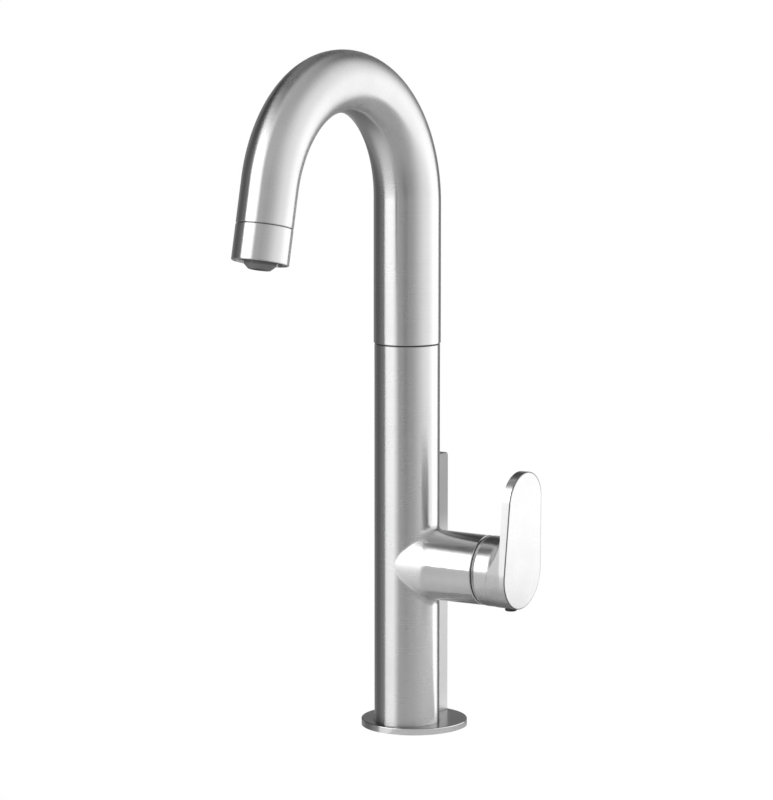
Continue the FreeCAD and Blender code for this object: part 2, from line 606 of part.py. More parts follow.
def make_swivel():
    """The swivel: a post in the column, two bushes and a clip on it, and the spout's collar."""
    post = turned("swivel_post", [
        ("post_bore", "column_top - post_depth"),
        ("column_bore - fit_gap", "column_top - post_depth"),
        ("column_bore - fit_gap", "column_top"), ("post_radius", "column_top"),
        ("post_radius", "seam_height + lower_bush_rise"),
        ("post_radius - bush_seat", "seam_height + lower_bush_rise"),
        ("post_radius - bush_seat", "seam_height + lower_bush_rise + bush_height"),
        ("post_radius", "seam_height + lower_bush_rise + bush_height"),
        ("post_radius", "seam_height + upper_bush_rise"),
        ("post_radius - bush_seat", "seam_height + upper_bush_rise"),
        ("post_radius - bush_seat", "seam_height + upper_bush_rise + bush_height"),
        ("post_radius", "seam_height + upper_bush_rise + bush_height"),
        ("post_radius", "clip_height"), ("post_radius - bush_seat", "clip_height"),
        ("post_radius - bush_seat", "clip_height + clip_thickness"),
        ("post_radius", "clip_height + clip_thickness"),
        ("post_radius", "post_top"), ("post_bore", "post_top")])
    lug = new_sketch(post, "lug", "XY_Plane", "stop_height_low")
    add_outline(lug, [("0 - stop_half", "post_bore + overshoot"), ("stop_half", "post_bore + overshoot"),
                      ("stop_half", "collar_bore - face_gap * 4"),
                      ("0 - stop_half", "collar_bore - face_gap * 4")])
    pad(post, "stop_lug", lug, "stop_height")
    ring("glide_ring", "post_radius + fit_gap", "column_radius - glide_recess", "column_top",
         "spout_base - running_gap")
    for name, rise in (("lower_bush", "lower_bush_rise"), ("upper_bush", "upper_bush_rise")):
        ring(name, "post_radius - bush_seat + fit_gap", "collar_bore - running_gap",
             f"seam_height + {rise} + fit_gap", f"seam_height + {rise} + bush_height - fit_gap")
    clip = ring("retaining_clip", "post_radius - bush_seat + fit_gap", "collar_bore + clip_bite",
                "clip_height + fit_gap", "clip_height + clip_thickness - fit_gap")
    mouth = new_sketch(clip, "mouth", "XY_Plane", "clip_height")
    add_outline(mouth, [("0 - clip_gap / 2", "0 - post_radius / 2"),
                        ("clip_gap / 2", "0 - post_radius / 2"),
                        ("clip_gap / 2", "0 - spout_root_radius"),
                        ("0 - clip_gap / 2", "0 - spout_root_radius")])
    pocket(clip, "mouth_cut", mouth)
    collar = turned("swivel_collar", [
        ("collar_bore", "spout_base"), ("collar_radius", "spout_base"),
        ("collar_radius", "stop_height_low + stop_height"),
        ("stop_bore", "stop_height_low + stop_height"), ("stop_bore", "stop_height_low"),
        ("collar_bore", "stop_height_low"), ("collar_bore", "clip_height + clip_thickness + face_gap"),
        ("collar_bore + clip_bite + face_gap", "clip_height + clip_thickness + face_gap"),
        ("collar_bore + clip_bite + face_gap", "clip_height - face_gap"),
        ("collar_bore", "clip_height - face_gap")])
    slot = new_sketch(collar, "slot", "XY_Plane", "stop_height_low")
    reach = value("collar_bore")
    half = math.radians(value("stop_angle"))
    sweep = Part.ArcOfCircle(Part.Circle(Vector(0, 0, 0), Vector(0, 0, 1), reach),
                             math.pi / 2 - half, math.pi / 2 + half)
    slot.addGeometry(sweep, False)
    slot.addGeometry(Part.LineSegment(sweep.EndPoint, Vector(0, 0, 0)), False)
    slot.addGeometry(Part.LineSegment(Vector(0, 0, 0), sweep.StartPoint), False)
    slot.addConstraint(Sketcher.Constraint("Coincident", 0, 3, -1, 1))
    slot.addConstraint(Sketcher.Constraint("Coincident", 0, 2, 1, 1))
    slot.addConstraint(Sketcher.Constraint("Coincident", 1, 2, 2, 1))
    slot.addConstraint(Sketcher.Constraint("Coincident", 2, 2, 0, 1))
    slot.addConstraint(Sketcher.Constraint("Coincident", 1, 2, -1, 1))
    hold(slot, "DistanceX", 0, 1, "collar_bore * sin(stop_angle)")
    hold(slot, "DistanceY", 0, 1, "collar_bore * cos(stop_angle)")
    hold(slot, "DistanceX", 0, 2, "0 - collar_bore * sin(stop_angle)")
    pocket(collar, "stop_slot", slot, "stop_height", forwards=True)


def arch_path(body, name, bend, height):
    """The arc that the arch or the hose follows, in the plane of the spout."""
    path = new_sketch(body, name, "YZ_Plane")
    radius = value(bend)
    crown = value(height)
    circle = Part.Circle(Vector(-radius, crown, 0), Vector(0, 0, 1), radius)
    path.addGeometry(Part.ArcOfCircle(circle, 0, math.radians(value("arch_sweep"))), False)
    hold(path, "DistanceX", 0, 3, f"0 - {bend}")
    hold(path, "DistanceY", 0, 3, height)
    index = path.addConstraint(Sketcher.Constraint("Radius", 0, radius))
    bind(path, f"Constraints[{index}]", bend)
    hold(path, "DistanceY", 0, 1, height)
    hold(path, "DistanceX", 0, 2, f"{bend} * (cos(arch_sweep) - 1)")
    return path


def swept(body, name, kind, path, profile, end=None):
    """A round section carried along a path, to a second section where the tube tapers."""
    before = solid_volume(body)
    made = feature(body, kind, name, profile)
    made.Spine = (path, [f"Edge{number}" for number in range(1, len(path.Shape.Edges) + 1)])
    if end is not None:
        made.Sections = [end]
        made.Transformation = "Multisection"
    if abs(solid_volume(body) - before) < 1:
        raise RuntimeError(f"{made.Name} changes nothing")
    return made


def make_spout():
    """The gooseneck: a straight root, an arch that tapers evenly to the outlet, and a short end."""
    body = new_body("spout_tube")
    path = arch_path(body, "arch_path", "arch_radius", "arch_height")
    doc.recompute()
    straight = "outlet_run - head_gap / 2"
    for layer, shrink in (("outer", "0"), ("inner", "spout_wall")):
        root = f"spout_root_radius - {shrink}"
        outlet = f"spout_end_radius - {shrink}"
        foot = new_sketch(body, layer + "_foot", "XY_Plane", "spout_base")
        add_circle(foot, root)
        start = new_sketch(body, layer + "_start", "XY_Plane", "arch_height")
        add_circle(start, root)
        end = new_sketch(body, layer + "_end", "XY_Plane", seat=ARC_END)
        add_circle(end, outlet)
        if layer == "outer":
            pad(body, "root", foot, "arch_height - spout_base")
            swept(body, "arch", "AdditivePipe", path, start, end)
            pad(body, "outlet", end, straight)
        else:
            pocket(body, "root_bore", foot, "arch_height - spout_base", forwards=True)
            swept(body, "arch_bore", "SubtractivePipe", path, start, end)
            pocket(body, "outlet_bore", end, straight, forwards=True)
    mouth = body.Placement.multVec(Vector(0, value("outlet_y"), value("outlet_z")))
    rim = value("spout_end_radius")
    dress(body, "Chamfer", "outlet_edge", "Size", "edge_break",
          lambda edge: isinstance(edge.Curve, Part.Circle) and abs(edge.Curve.Radius - rim) < NEAR
          and edge.Curve.Center.distanceToPoint(mouth) < 1)
    root_rim = value("spout_root_radius")
    base = value("spout_base")
    dress(body, "Chamfer", "root_edge", "Size", "edge_break / 2",
          lambda edge: is_rim(edge, root_rim, base))


def make_dock():
    """The plastic dock in the spout's end and the ring magnet that holds the spray head."""
    turned("dock", [
        ("dock_bore", "dock_head"), ("outlet_bore - fit_gap", "dock_head"),
        ("outlet_bore - fit_gap", "dock_foot"), ("magnet_outer", "dock_foot"),
        ("magnet_outer", "magnet_head"), ("dock_bore", "magnet_head")], ON_OUTLET)
    ring("dock_magnet", "dock_bore + sliding_gap", "magnet_outer - fit_gap", "magnet_head + fit_gap",
         "dock_foot", ON_OUTLET)


def make_hose():
    """The spray hose inside the faucet: from its ferrule round the arch and down the column."""
    body = new_body("spray_hose")
    path = arch_path(body, "bend", "hose_bend", "hose_crown")
    doc.recompute()
    start = new_sketch(body, "section", "XY_Plane", "shank_foot")
    add_circle(start, "hose_radius")
    pad(body, "drop", start, "hose_crown - shank_foot")
    crown = new_sketch(body, "crown", "XY_Plane", "hose_crown")
    add_circle(crown, "hose_radius")
    swept(body, "arch", "AdditivePipe", path, crown)
    bend_end = ("placement(vector(0; hose_bend * (cos(arch_sweep) - 1);"
                " hose_crown + hose_bend * sin(arch_sweep)); rotation(vector(1; 0; 0); arch_sweep))")
    last = new_sketch(body, "last", "XY_Plane", seat=bend_end)
    add_circle(last, "hose_radius")
    pad(body, "lead", last, "hose_lead + outlet_run + hose_end")


def make_spray_head():
    """The spray head: a steel shell over a plastic body, whose neck slides into the dock."""
    shell = turned("spray_shell", [
        ("shell_bore", "head_top"), ("spout_end_radius - edge_break", "head_top"),
        ("spout_end_radius", "head_top + edge_break"), ("spout_end_radius", "head_length"),
        ("shell_bore", "head_length")], ON_OUTLET)
    rim = value("spout_end_radius")
    foot = value("head_length")
    dress(shell, "Fillet", "lower_rim", "Radius", "shell_lip", lambda edge: is_rim(edge, rim, foot))
    turned("spray_body", [
        ("inlet_radius + fit_gap", "neck_top"), ("neck_radius - edge_break", "neck_top"),
        ("neck_radius", "neck_top + edge_break"), ("neck_radius", "catch_foot"),
        ("shell_bore - fit_gap", "catch_foot"), ("shell_bore - fit_gap", "face_head"),
        ("aerator_radius + fit_gap", "face_head"), ("aerator_radius + fit_gap", "seal_head"),
        ("waterway_radius", "seal_head"), ("waterway_radius", "check_foot"),
        ("check_radius + fit_gap", "check_foot"), ("check_radius + fit_gap", "inlet_floor"),
        ("inlet_radius + fit_gap", "inlet_floor")], ON_OUTLET)
    ring("catch_ring", "neck_radius + fit_gap", "shell_bore - fit_gap", "head_top", "catch_foot", ON_OUTLET)
    ring("spray_face", "aerator_radius + fit_gap", "shell_bore - fit_gap", "face_head", "face_foot",
         ON_OUTLET)
    ring("aerator_seal", "waterway_radius", "aerator_radius", "seal_head", "aerator_head", ON_OUTLET)
    aerator = turned("aerator", [
        ("aerator_bore - aerator_wall", "aerator_head"), ("aerator_radius", "aerator_head"),
        ("aerator_radius", "aerator_foot - edge_break"), ("aerator_radius - edge_break", "aerator_foot"),
        ("aerator_bore", "aerator_foot"), ("aerator_bore", "screen_head"),
        ("aerator_bore - aerator_wall", "screen_head")], ON_OUTLET)
    slot = new_sketch(aerator, "slot", "XY_Plane", "aerator_foot")
    add_outline(slot, [("aerator_bore - face_gap", "0 - slot_width / 2"),
                       ("aerator_radius + overshoot", "0 - slot_width / 2"),
                       ("aerator_radius + overshoot", "slot_width / 2"),
                       ("aerator_bore - face_gap", "slot_width / 2")])
    cut = pocket(aerator, "key_slot", slot, "slot_depth")
    round_pattern(aerator, cut, "aerator_slots")
    screen = ring("aerator_screen", "0", "aerator_bore - fit_gap", "screen_head",
                  "aerator_foot - screen_recess", ON_OUTLET)
    for row in (1, 2):
        hole = drill(screen, f"hole_row_{row}", "screen_hole", f"screen_pitch * {row}", "0")
        round_pattern(screen, hole, f"screen_holes * {row}")
    ring("hose_seal", "waterway_radius", "inlet_radius", "inlet_seal", "inlet_floor", ON_OUTLET)
    ring("check_valve", "0", "check_radius", "inlet_floor + fit_gap", "check_foot - fit_gap", ON_OUTLET)
    fitting = new_body("hose_fitting", ON_OUTLET)
    flats = new_sketch(fitting, "flats", "XY_Plane", "fitting_top")
    add_outline(flats, hexagon("fitting_flats"))
    pad(fitting, "hexagon", flats, "fitting_flange")
    spigot = new_sketch(fitting, "spigot", "XY_Plane", "neck_top")
    add_circle(spigot, "inlet_radius")
    pad(fitting, "spigot_pad", spigot, "inlet_depth - seal_thickness")
    drill(fitting, "waterway", "waterway_radius", "0", "0")
    ring("hose_ferrule", "ferrule_bore", "ferrule_bore + ferrule_wall", "ferrule_top", "fitting_top",
         ON_OUTLET)


def make_valve():
    """The mixing valve in the hub: a brass core, the ceramic cartridge, and the nut that holds it."""
    core = new_body("valve_core")
    front = new_sketch(core, "front", "YZ_Plane", "core_front")
    add_circle(front, "valve_bore - fit_gap", up="hub_height")
    pad(core, "front_disc", front, "core_front - valve_seat", backwards=True)
    back = new_sketch(core, "back", "YZ_Plane", "valve_seat")
    add_circle(back, "core_bore - running_gap", up="hub_height")
    pad(core, "back_disc", back, "valve_seat + core_back", backwards=True)
    channel = new_sketch(core, "channel", "XY_Plane", "hub_height")
    add_circle(channel, "hose_channel")
    pocket(core, "hose_channel", channel)
    low = "hub_height - core_bore - overshoot"
    for name, across, up in PORTS:
        kind = "outlet" if name == "outlet" else "inlet"
        mouth = f"hub_height - {kind}_mouth"
        level = "hub_height - outlet_drop" if name == "outlet" else "hub_height + inlet_rise"
        drill(core, name + "_seat", "port_seat", across, up, low, f"{mouth} - ({low})", forwards=True)
        drill(core, name + "_thread", "port_radius", across, up, mouth, f"{kind}_thread", forwards=True)
        drill(core, name + "_rise", "rise_radius", across, up, mouth, f"{level} + overshoot - ({mouth})",
              forwards=True)
        drill(core, name + "_passage", "passage_radius", up, level, "core_front",
              f"core_front - ({across})", "YZ_Plane")

    passages = (("0 - inlet_rise", "0 - port_offset"), ("0 - inlet_rise", "port_offset"),
                ("outlet_drop", "0"))
    pieces = (("port_seal", "valve_bore - fit_gap * 5", "core_front", "seal_front"),
              ("cartridge_base", "housing_radius", "seal_front", "plate_front"),
              ("fixed_disc", "disc_radius", "plate_front", "fixed_front"))
    for name, radius, low, high in pieces:
        disc = ring(name, "0", radius, low, high, ON_HUB)
        for number, (down, across) in enumerate(passages, 1):
            drill(disc, f"port_{number}", "passage_radius", down, across)
    moving = ring("moving_disc", "0", "disc_radius", "moving_back", "drive_back", ON_HUB)
    slot = new_sketch(moving, "slot", "XY_Plane", "moving_back")
    add_circle(slot, "disc_radius / 2")
    pocket(moving, "mixing_hollow", slot, "disc_thickness / 2", forwards=True)

    turned("cartridge_housing", [
        ("housing_bore", "plate_front"), ("housing_radius", "plate_front"),
        ("housing_radius", "cover_front"), ("housing_neck", "cover_front"),
        ("housing_neck", "cover_front + neck_rise"),
        ("stem_radius + running_gap", "cover_front + neck_rise"),
        ("stem_radius + running_gap", "cover_back"), ("housing_bore", "cover_back")], ON_HUB)
    nut = ring("ring_nut", "housing_neck + face_gap", "housing_radius", "cover_front", "ring_nut_front",
               ON_HUB)
    slot = new_sketch(nut, "slot", "XY_Plane", "ring_nut_front")
    nut_rim = "housing_radius - ring_nut_rim"
    add_outline(slot, [("housing_neck", "0 - slot_width / 2"), (nut_rim, "0 - slot_width / 2"),
                       (nut_rim, "slot_width / 2"), ("housing_neck", "slot_width / 2")])
    cut = pocket(nut, "key_slot", slot, "slot_depth")
    round_pattern(nut, cut, "ring_nut_slots")
    turned("trim_ring", [
        ("skirt_hollow - trim_width", "ring_nut_front"), ("housing_radius", "ring_nut_front"),
        ("housing_radius", "hub_reach"), ("hub_radius - ring_recess", "hub_reach"),
        ("hub_radius - ring_recess", "lever_back - face_gap * 2"),
        ("skirt_hollow - trim_width", "lever_back - face_gap * 2")], ON_HUB)


def make_stem():
    """The valve stem: a plate that drives the moving disc, a round shaft and a square end."""
    body = new_body("valve_stem")
    stretches = (("drive", "disc_radius - face_gap", "drive_back", "drive_front"),
                 ("shaft", "stem_radius", "drive_front", "hollow_floor - face_gap"))
    for name, radius, low, high in stretches:
        circle = new_sketch(body, name + "_circle", "YZ_Plane", low)
        add_circle(circle, radius, up="hub_height")
        pad(body, name, circle, f"{high} - {low}")
    square = new_sketch(body, "square", "YZ_Plane", "hollow_floor - face_gap")
    half = "stem_square / 2"
    add_outline(square, [(f"0 - {half}", f"hub_height - {half}"), (half, f"hub_height - {half}"),
                         (half, f"hub_height + {half}"), (f"0 - {half}", f"hub_height + {half}")])
    pad(body, "square_end", square, "socket_depth - face_gap")


def add_teardrop(sketch):
    """The blade's outline: a round foot, a smaller round top and the two lines that touch both."""
    foot_radius = value("lever_radius")
    top_radius = value("lever_top_radius")
    foot = Vector(0, value("hub_height"), 0)
    top = Vector(0, value("lever_top_centre"), 0)
    turn = math.asin((foot_radius - top_radius) / (top.y - foot.y))
    first = sketch.GeometryCount
    normal = Vector(0, 0, 1)
    sketch.addGeometry(Part.ArcOfCircle(Part.Circle(top, normal, top_radius), turn, math.pi - turn), False)
    sketch.addGeometry(Part.ArcOfCircle(Part.Circle(foot, normal, foot_radius),
                                        math.pi - turn, 2 * math.pi + turn), False)
    sides = ((math.pi - turn, 2, 1), (turn, 1, 2))
    for number, (angle, top_point, foot_point) in enumerate(sides, 2):
        across = Vector(math.cos(angle), math.sin(angle), 0)
        edge = Part.LineSegment(top + across * top_radius, foot + across * foot_radius)
        sketch.addGeometry(edge, False)
        line = first + number
        sketch.addConstraint(Sketcher.Constraint("Tangent", first, top_point, line, 1))
        sketch.addConstraint(Sketcher.Constraint("Tangent", first + 1, foot_point, line, 2))
    for item, centre, radius in ((first, "lever_top_centre", "lever_top_radius"),
                                 (first + 1, "hub_height", "lever_radius")):
        hold(sketch, "DistanceX", item, 3, "0")
        hold(sketch, "DistanceY", item, 3, centre)
        index = sketch.addConstraint(Sketcher.Constraint("Radius", item, value(radius)))
        bind(sketch, f"Constraints[{index}]", radius)


def make_lever():
    """The lever, one casting: a round skirt that flares into a flat teardrop blade."""
    body = new_body("lever")
    blade = new_sketch(body, "blade", "YZ_Plane", seat=(
        "placement(vector(0; hub_height; lever_face); rotation(vector(1; 0; 0); lever_lean))"))
    add_circle(blade, "lever_top * 2")
    pad(body, "blade_slab", blade, "lever_thickness", backwards=True)
    skirt = new_sketch(body, "skirt", "YZ_Plane", "lever_back")
    add_circle(skirt, "skirt_radius", up="hub_height")
    pad(body, "skirt_pad", skirt, "lever_face - lever_thickness / 2 - lever_back")
    radius = value("skirt_radius")
    height = value("hub_height")
    rear = value("lever_back")

    def is_corner(edge):
        spot = edge.valueAt((edge.FirstParameter + edge.LastParameter) / 2)
        around = math.hypot(spot.y, spot.z - height)
        return abs(around - radius) < NEAR and spot.x > rear + 1 and not isinstance(edge.Curve, Part.Line)

    dress(body, "Fillet", "blend", "Radius", "lever_blend", is_corner)
    outside = new_sketch(body, "outside", "YZ_Plane")
    add_circle(outside, "lever_top * 3", up="hub_height")
    add_teardrop(outside)
    pocket(body, "outline", outside)
    lean = math.tan(math.radians(value("lever_lean")))
    face = value("lever_face")

    def is_face_edge(edge):
        spots = [edge.valueAt(edge.FirstParameter + part * (edge.LastParameter - edge.FirstParameter))
                 for part in (0.1, 0.5, 0.9)]
        return all(abs(spot.x - face - (spot.z - height) * lean) < NEAR for spot in spots)

    dress(body, "Fillet", "face_edge", "Radius", "lever_edge", is_face_edge)
    bevel = new_sketch(body, "bevel", "XY_Plane", "hub_height")
    add_outline(bevel, [("lever_back - overshoot", "skirt_radius - skirt_bevel_depth"),
                        ("lever_back", "skirt_radius - skirt_bevel_depth"),
                        ("lever_back + skirt_bevel_length", "skirt_radius"),
                        ("lever_back + skirt_bevel_length", "skirt_radius + overshoot"),
                        ("lever_back - overshoot", "skirt_radius + overshoot")])
    before = solid_volume(body)
    groove = feature(body, "Groove", "rear_bevel", bevel)
    groove.ReferenceAxis = (bevel, ["H_Axis"])
    groove.Angle = 360
    if not solid_volume(body) < before:
        raise RuntimeError("the bevel cuts nothing")
    drill(body, "hollow", "skirt_hollow", "0", "hub_height", "lever_back", "skirt_depth", "YZ_Plane",
          forwards=True)
    square = new_sketch(body, "socket", "YZ_Plane", "hollow_floor")
    half = "(stem_square / 2 + running_gap)"
    add_outline(square, [(f"0 - {half}", f"hub_height - {half}"), (half, f"hub_height - {half}"),
                         (half, f"hub_height + {half}"), (f"0 - {half}", f"hub_height + {half}")])
    pocket(body, "square_socket", square, "socket_depth", forwards=True)
    drill(body, "screw_hole", "screw_radius + fit_gap", "screw_ahead", "0", "hub_height",
          "lever_radius + overshoot")
    drill(body, "cap_seat", "cap_radius + fit_gap", "screw_ahead", "0", "lever_foot + cap_depth",
          "cap_depth + overshoot")


def make_lever_fastening():
    """The screw that clamps the lever to the stem, and the black cap that closes its hole."""
    along = "placement(vector(screw_ahead; 0; 0); rotation(vector(0; 0; 1); 0))"
    top = "hub_height - stem_square / 2 - fit_gap"
    ring("clamp_screw", "0", "screw_radius", f"{top} - screw_length", top, along)
    turned("screw_cap", [
        ("0", "lever_foot - cap_rise"), ("cap_radius - edge_break", "lever_foot - cap_rise"),
        ("cap_radius", "lever_foot - cap_rise + edge_break"),
        ("cap_radius", "lever_foot + cap_depth - fit_gap"),
        ("0", "lever_foot + cap_depth - fit_gap")], along)


make_flange()
make_gasket()
make_column()
make_spine()
make_deck_hardware()
make_swivel()
make_spout()
make_dock()
make_hose()
make_spray_head()
make_valve()
make_stem()
make_lever()
make_lever_fastening()

doc.recompute()
for thing in doc.Objects:
    if "Invalid" in thing.State or "Error" in thing.State:
        raise RuntimeError(f"{thing.Label} did not build: {thing.State}")
pieces = [thing for thing in doc.Objects if thing.TypeId == "PartDesign::Body"]
for piece in pieces:
    if piece.Shape.isNull() or not piece.Shape.isValid() or len(piece.Shape.Solids) != 1:
        raise RuntimeError(f"{piece.Label} is not one valid solid")

os.makedirs("parts", exist_ok=True)
for piece in pieces:
    piece.Shape.exportStep(f"parts/{piece.Label}.step")
    print(f"{piece.Label}: {piece.Shape.Volume:.1f} mm3")
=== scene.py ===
import math

import bpy
import numpy as np
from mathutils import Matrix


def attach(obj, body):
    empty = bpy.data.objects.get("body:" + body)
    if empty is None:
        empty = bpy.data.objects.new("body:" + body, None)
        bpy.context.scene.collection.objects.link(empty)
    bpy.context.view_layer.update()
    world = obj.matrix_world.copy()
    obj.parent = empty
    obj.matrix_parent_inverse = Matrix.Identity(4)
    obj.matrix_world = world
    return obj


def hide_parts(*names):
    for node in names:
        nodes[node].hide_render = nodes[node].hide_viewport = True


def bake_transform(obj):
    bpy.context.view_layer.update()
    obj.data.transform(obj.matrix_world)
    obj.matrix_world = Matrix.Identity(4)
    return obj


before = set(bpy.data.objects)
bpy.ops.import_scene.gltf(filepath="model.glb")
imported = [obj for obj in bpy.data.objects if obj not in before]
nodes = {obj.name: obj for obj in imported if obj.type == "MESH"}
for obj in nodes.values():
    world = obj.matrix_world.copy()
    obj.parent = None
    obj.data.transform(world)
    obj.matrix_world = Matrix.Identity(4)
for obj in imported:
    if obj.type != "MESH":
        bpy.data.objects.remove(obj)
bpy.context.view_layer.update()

# The studio. The photograph was taken from the front right and a little above, with a long lens.
# The lens, the distance and both angles were solved on the column, the flange and the arch.
camera_data = bpy.data.cameras.new("camera")
camera_data.sensor_fit = "VERTICAL"
camera_data.sensor_height = 24.0
camera_data.lens = 100.61
camera = bpy.data.objects.new("camera", camera_data)
camera.location = (1.0303, -1.6217, 0.4443)
camera.rotation_euler = (math.radians(90 - 7.47), 0, math.radians(32.785))
bpy.context.scene.collection.objects.link(camera)
bpy.context.scene.camera = camera
bpy.context.scene.view_settings.view_transform = "Standard"
camera_bearing = math.degrees(math.atan2(camera.location.y, camera.location.x))

# The room round the faucet, as the metal mirrors it: a grey ceiling and table, a soft lamp on the
# left, a larger one on the right, and black cards above, beside and behind. The paper backdrop is
# plain white for the camera.


def linked(tree, socket, term):
    """Give a socket a number, or the output of another node."""
    if isinstance(term, bpy.types.NodeSocket):
        tree.links.new(term, socket)
    else:
        socket.default_value = term


def math_of(tree, operation, *terms):
    """One Math node over numbers and outputs."""
    made = tree.nodes.new("ShaderNodeMath")
    made.operation = operation
    for socket, term in zip(made.inputs, terms):
        linked(tree, socket, term)
    return made.outputs[0]


def step_of(tree, value, low, high):
    """0 below low, 1 above high, and a smooth step between them."""
    made = tree.nodes.new("ShaderNodeMapRange")
    made.interpolation_type = "SMOOTHSTEP"
    linked(tree, made.inputs["Value"], value)
    made.inputs["From Min"].default_value = low
    made.inputs["From Max"].default_value = high
    return made.outputs["Result"]


def parts_of(tree, vector):
    """The X, Y and Z of a vector, each as an output."""
    made = tree.nodes.new("ShaderNodeSeparateXYZ")
    tree.links.new(vector, made.inputs[0])
    return made.outputs["X"], made.outputs["Y"], made.outputs["Z"]


def seen_apart(tree, by_rays, by_camera, output):
    """Show the camera one shader, and every other ray another."""
    ray = tree.nodes.new("ShaderNodeLightPath")
    choose = tree.nodes.new("ShaderNodeMixShader")
    out = tree.nodes.new(output)
    tree.links.new(ray.outputs["Is Camera Ray"], choose.inputs["Fac"])
    tree.links.new(by_rays, choose.inputs[1])
    tree.links.new(by_camera, choose.inputs[2])
    tree.links.new(choose.outputs["Shader"], out.inputs["Surface"])


world = bpy.data.worlds.new("studio")
bpy.context.scene.world = world
world.use_nodes = True
tree = world.node_tree
tree.nodes.clear()
east, north, up = parts_of(tree, tree.nodes.new("ShaderNodeTexCoord").outputs["Generated"])
turned = math_of(tree, "MULTIPLY", math_of(tree, "ARCTAN2", north, east), math.degrees(1))
bearing = math_of(tree, "WRAP", math_of(tree, "SUBTRACT", turned, camera_bearing), 180, -180)
rise = math_of(tree, "MULTIPLY", math_of(tree, "ARCSINE", up), math.degrees(1))

# The grey of the room at each height, in degrees above the horizon.
sky_levels = ((-90, 0.72), (-54, 0.72), (-30, 0.44), (-14, 0.27), (0, 0.44), (12, 0.80),
              (44, 0.78), (64, 0.62))
sky = tree.nodes.new("ShaderNodeValToRGB")
tree.links.new(math_of(tree, "MULTIPLY_ADD", rise, 1 / 180, 0.5), sky.inputs["Fac"])
while len(sky.color_ramp.elements) < len(sky_levels):
    sky.color_ramp.elements.new(0.5)
for stop, (height, level) in zip(sky.color_ramp.elements, sky_levels):
    stop.position = (height + 90) / 180
    stop.color = (level, level, level, 1)

# Lamps and cards, each in front of those before it: how bright it is, then where it starts and ends
# in bearing from the camera, and in height. The number after each of these says how soft that side
# is. All are in degrees.
cards = (
    # The table on the right, and the large soft lamp there, which is brightest far round.
    (0.72, (20, 60, 134, 6), (-64, 30, -30, 4)),
    (1.42, (40, 70, 135, 6), (-32, 8, 48, 44)),
    (1.95, (88, 36, 134, 6), (-31, 10, 20, 28)),
    # The dark gap in the middle, its paler side, and the table on the left.
    (0.46, (-36, 6, -12, 16), (-44, 30, 8, 8)),
    (0.2, (-14, 18, 1.5, 2), (-28, 12, 4, 8)),
    (0.9, (-92, 16, -40, 34), (-62, 60, 1, 4)),
    # Black cards: above on the left, beside the left lamp, behind, and low and high behind.
    (0.12, (-181, 1, -60, 40), (46, 6, 73, 10)),
    (0.26, (-152, 26, -83, 4), (-20, 14, 36, 20)),
    (0.15, (-138, 16, -106, 20), (-20, 14, 36, 20)),
    (0.28, (137, 5, 181, 1), (-28, 14, 56, 20)),
    (0.28, (-181, 1, -152, 26), (-28, 14, 56, 20)),
    (0.06, (141, 8, 181, 1), (26, 12, 58, 16)),
    (0.16, (-181, 1, -128, 30), (-88, 10, -30, 16)),
    (0.16, (150, 20, 181, 1), (-88, 10, -30, 16)),
    (0.05, (-181, 1, -112, 30), (22, 12, 66, 14)),
    # A pale strip right behind the faucet, which edges both sides of the tubes.
    (1.1, (166, 12, 181, 1), (-16, 10, 9, 6)),
    (1.1, (-181, 1, -168, 12), (-16, 10, 9, 6)),
    # The soft lamp on the left, its brighter middle, and a patch at its upper side.
    (1.35, (-84, 4, -32, 5), (2, 4, 46, 8)),
    (3.5, (-84, 4, -41, 24), (2, 4, 46, 8)),
    (1.9, (-100, 10, -80, 10), (34, 12, 46, 8)))
room = sky.outputs["Color"]
for level, bearings, heights in cards:
    mask = 1.0
    for angle, (start, start_soft, end, end_soft) in ((bearing, bearings), (rise, heights)):
        opens = step_of(tree, angle, start - start_soft / 2, start + start_soft / 2)
        closes = step_of(tree, angle, end + end_soft / 2, end - end_soft / 2)
        mask = math_of(tree, "MULTIPLY", mask, math_of(tree, "MULTIPLY", opens, closes))
    room = math_of(tree, "MULTIPLY_ADD", mask, math_of(tree, "SUBTRACT", level, room), room)
mirrored = tree.nodes.new("ShaderNodeBackground")
tree.links.new(room, mirrored.inputs["Strength"])
backdrop = tree.nodes.new("ShaderNodeBackground")
backdrop.inputs["Color"].default_value = (1, 1, 1, 1)
seen_apart(tree, mirrored.outputs["Background"], backdrop.outputs["Background"],
           "ShaderNodeOutputWorld")

# The table top: the deck that the faucet is mounted on, as a large sheet of white paper. The camera
# sees plain white, and the metal doesn't see it.


def in_scene(name, mesh):
    """An object of a mesh, put in the scene."""
    made = bpy.data.objects.new(name, mesh)
    bpy.context.scene.collection.objects.link(made)
    return made


table_half = 3.0
table_mesh = bpy.data.meshes.new("table")
corners = [(-table_half, -table_half, 0), (table_half, -table_half, 0),
           (table_half, table_half, 0), (-table_half, table_half, 0)]
table_mesh.from_pydata(corners, [], [(0, 1, 2, 3)])
table = in_scene("table", table_mesh)
table.visible_glossy = False
table_paint = bpy.data.materials.new("table paper")
table_paint.use_nodes = True
tree = table_paint.node_tree
tree.nodes.clear()
paper = tree.nodes.new("ShaderNodeBsdfDiffuse")
paper.inputs["Color"].default_value = (0.8, 0.8, 0.8, 1)
plain_white = tree.nodes.new("ShaderNodeEmission")
seen_apart(tree, paper.outputs["BSDF"], plain_white.outputs["Emission"],
           "ShaderNodeOutputMaterial")
table_mesh.materials.append(table_paint)

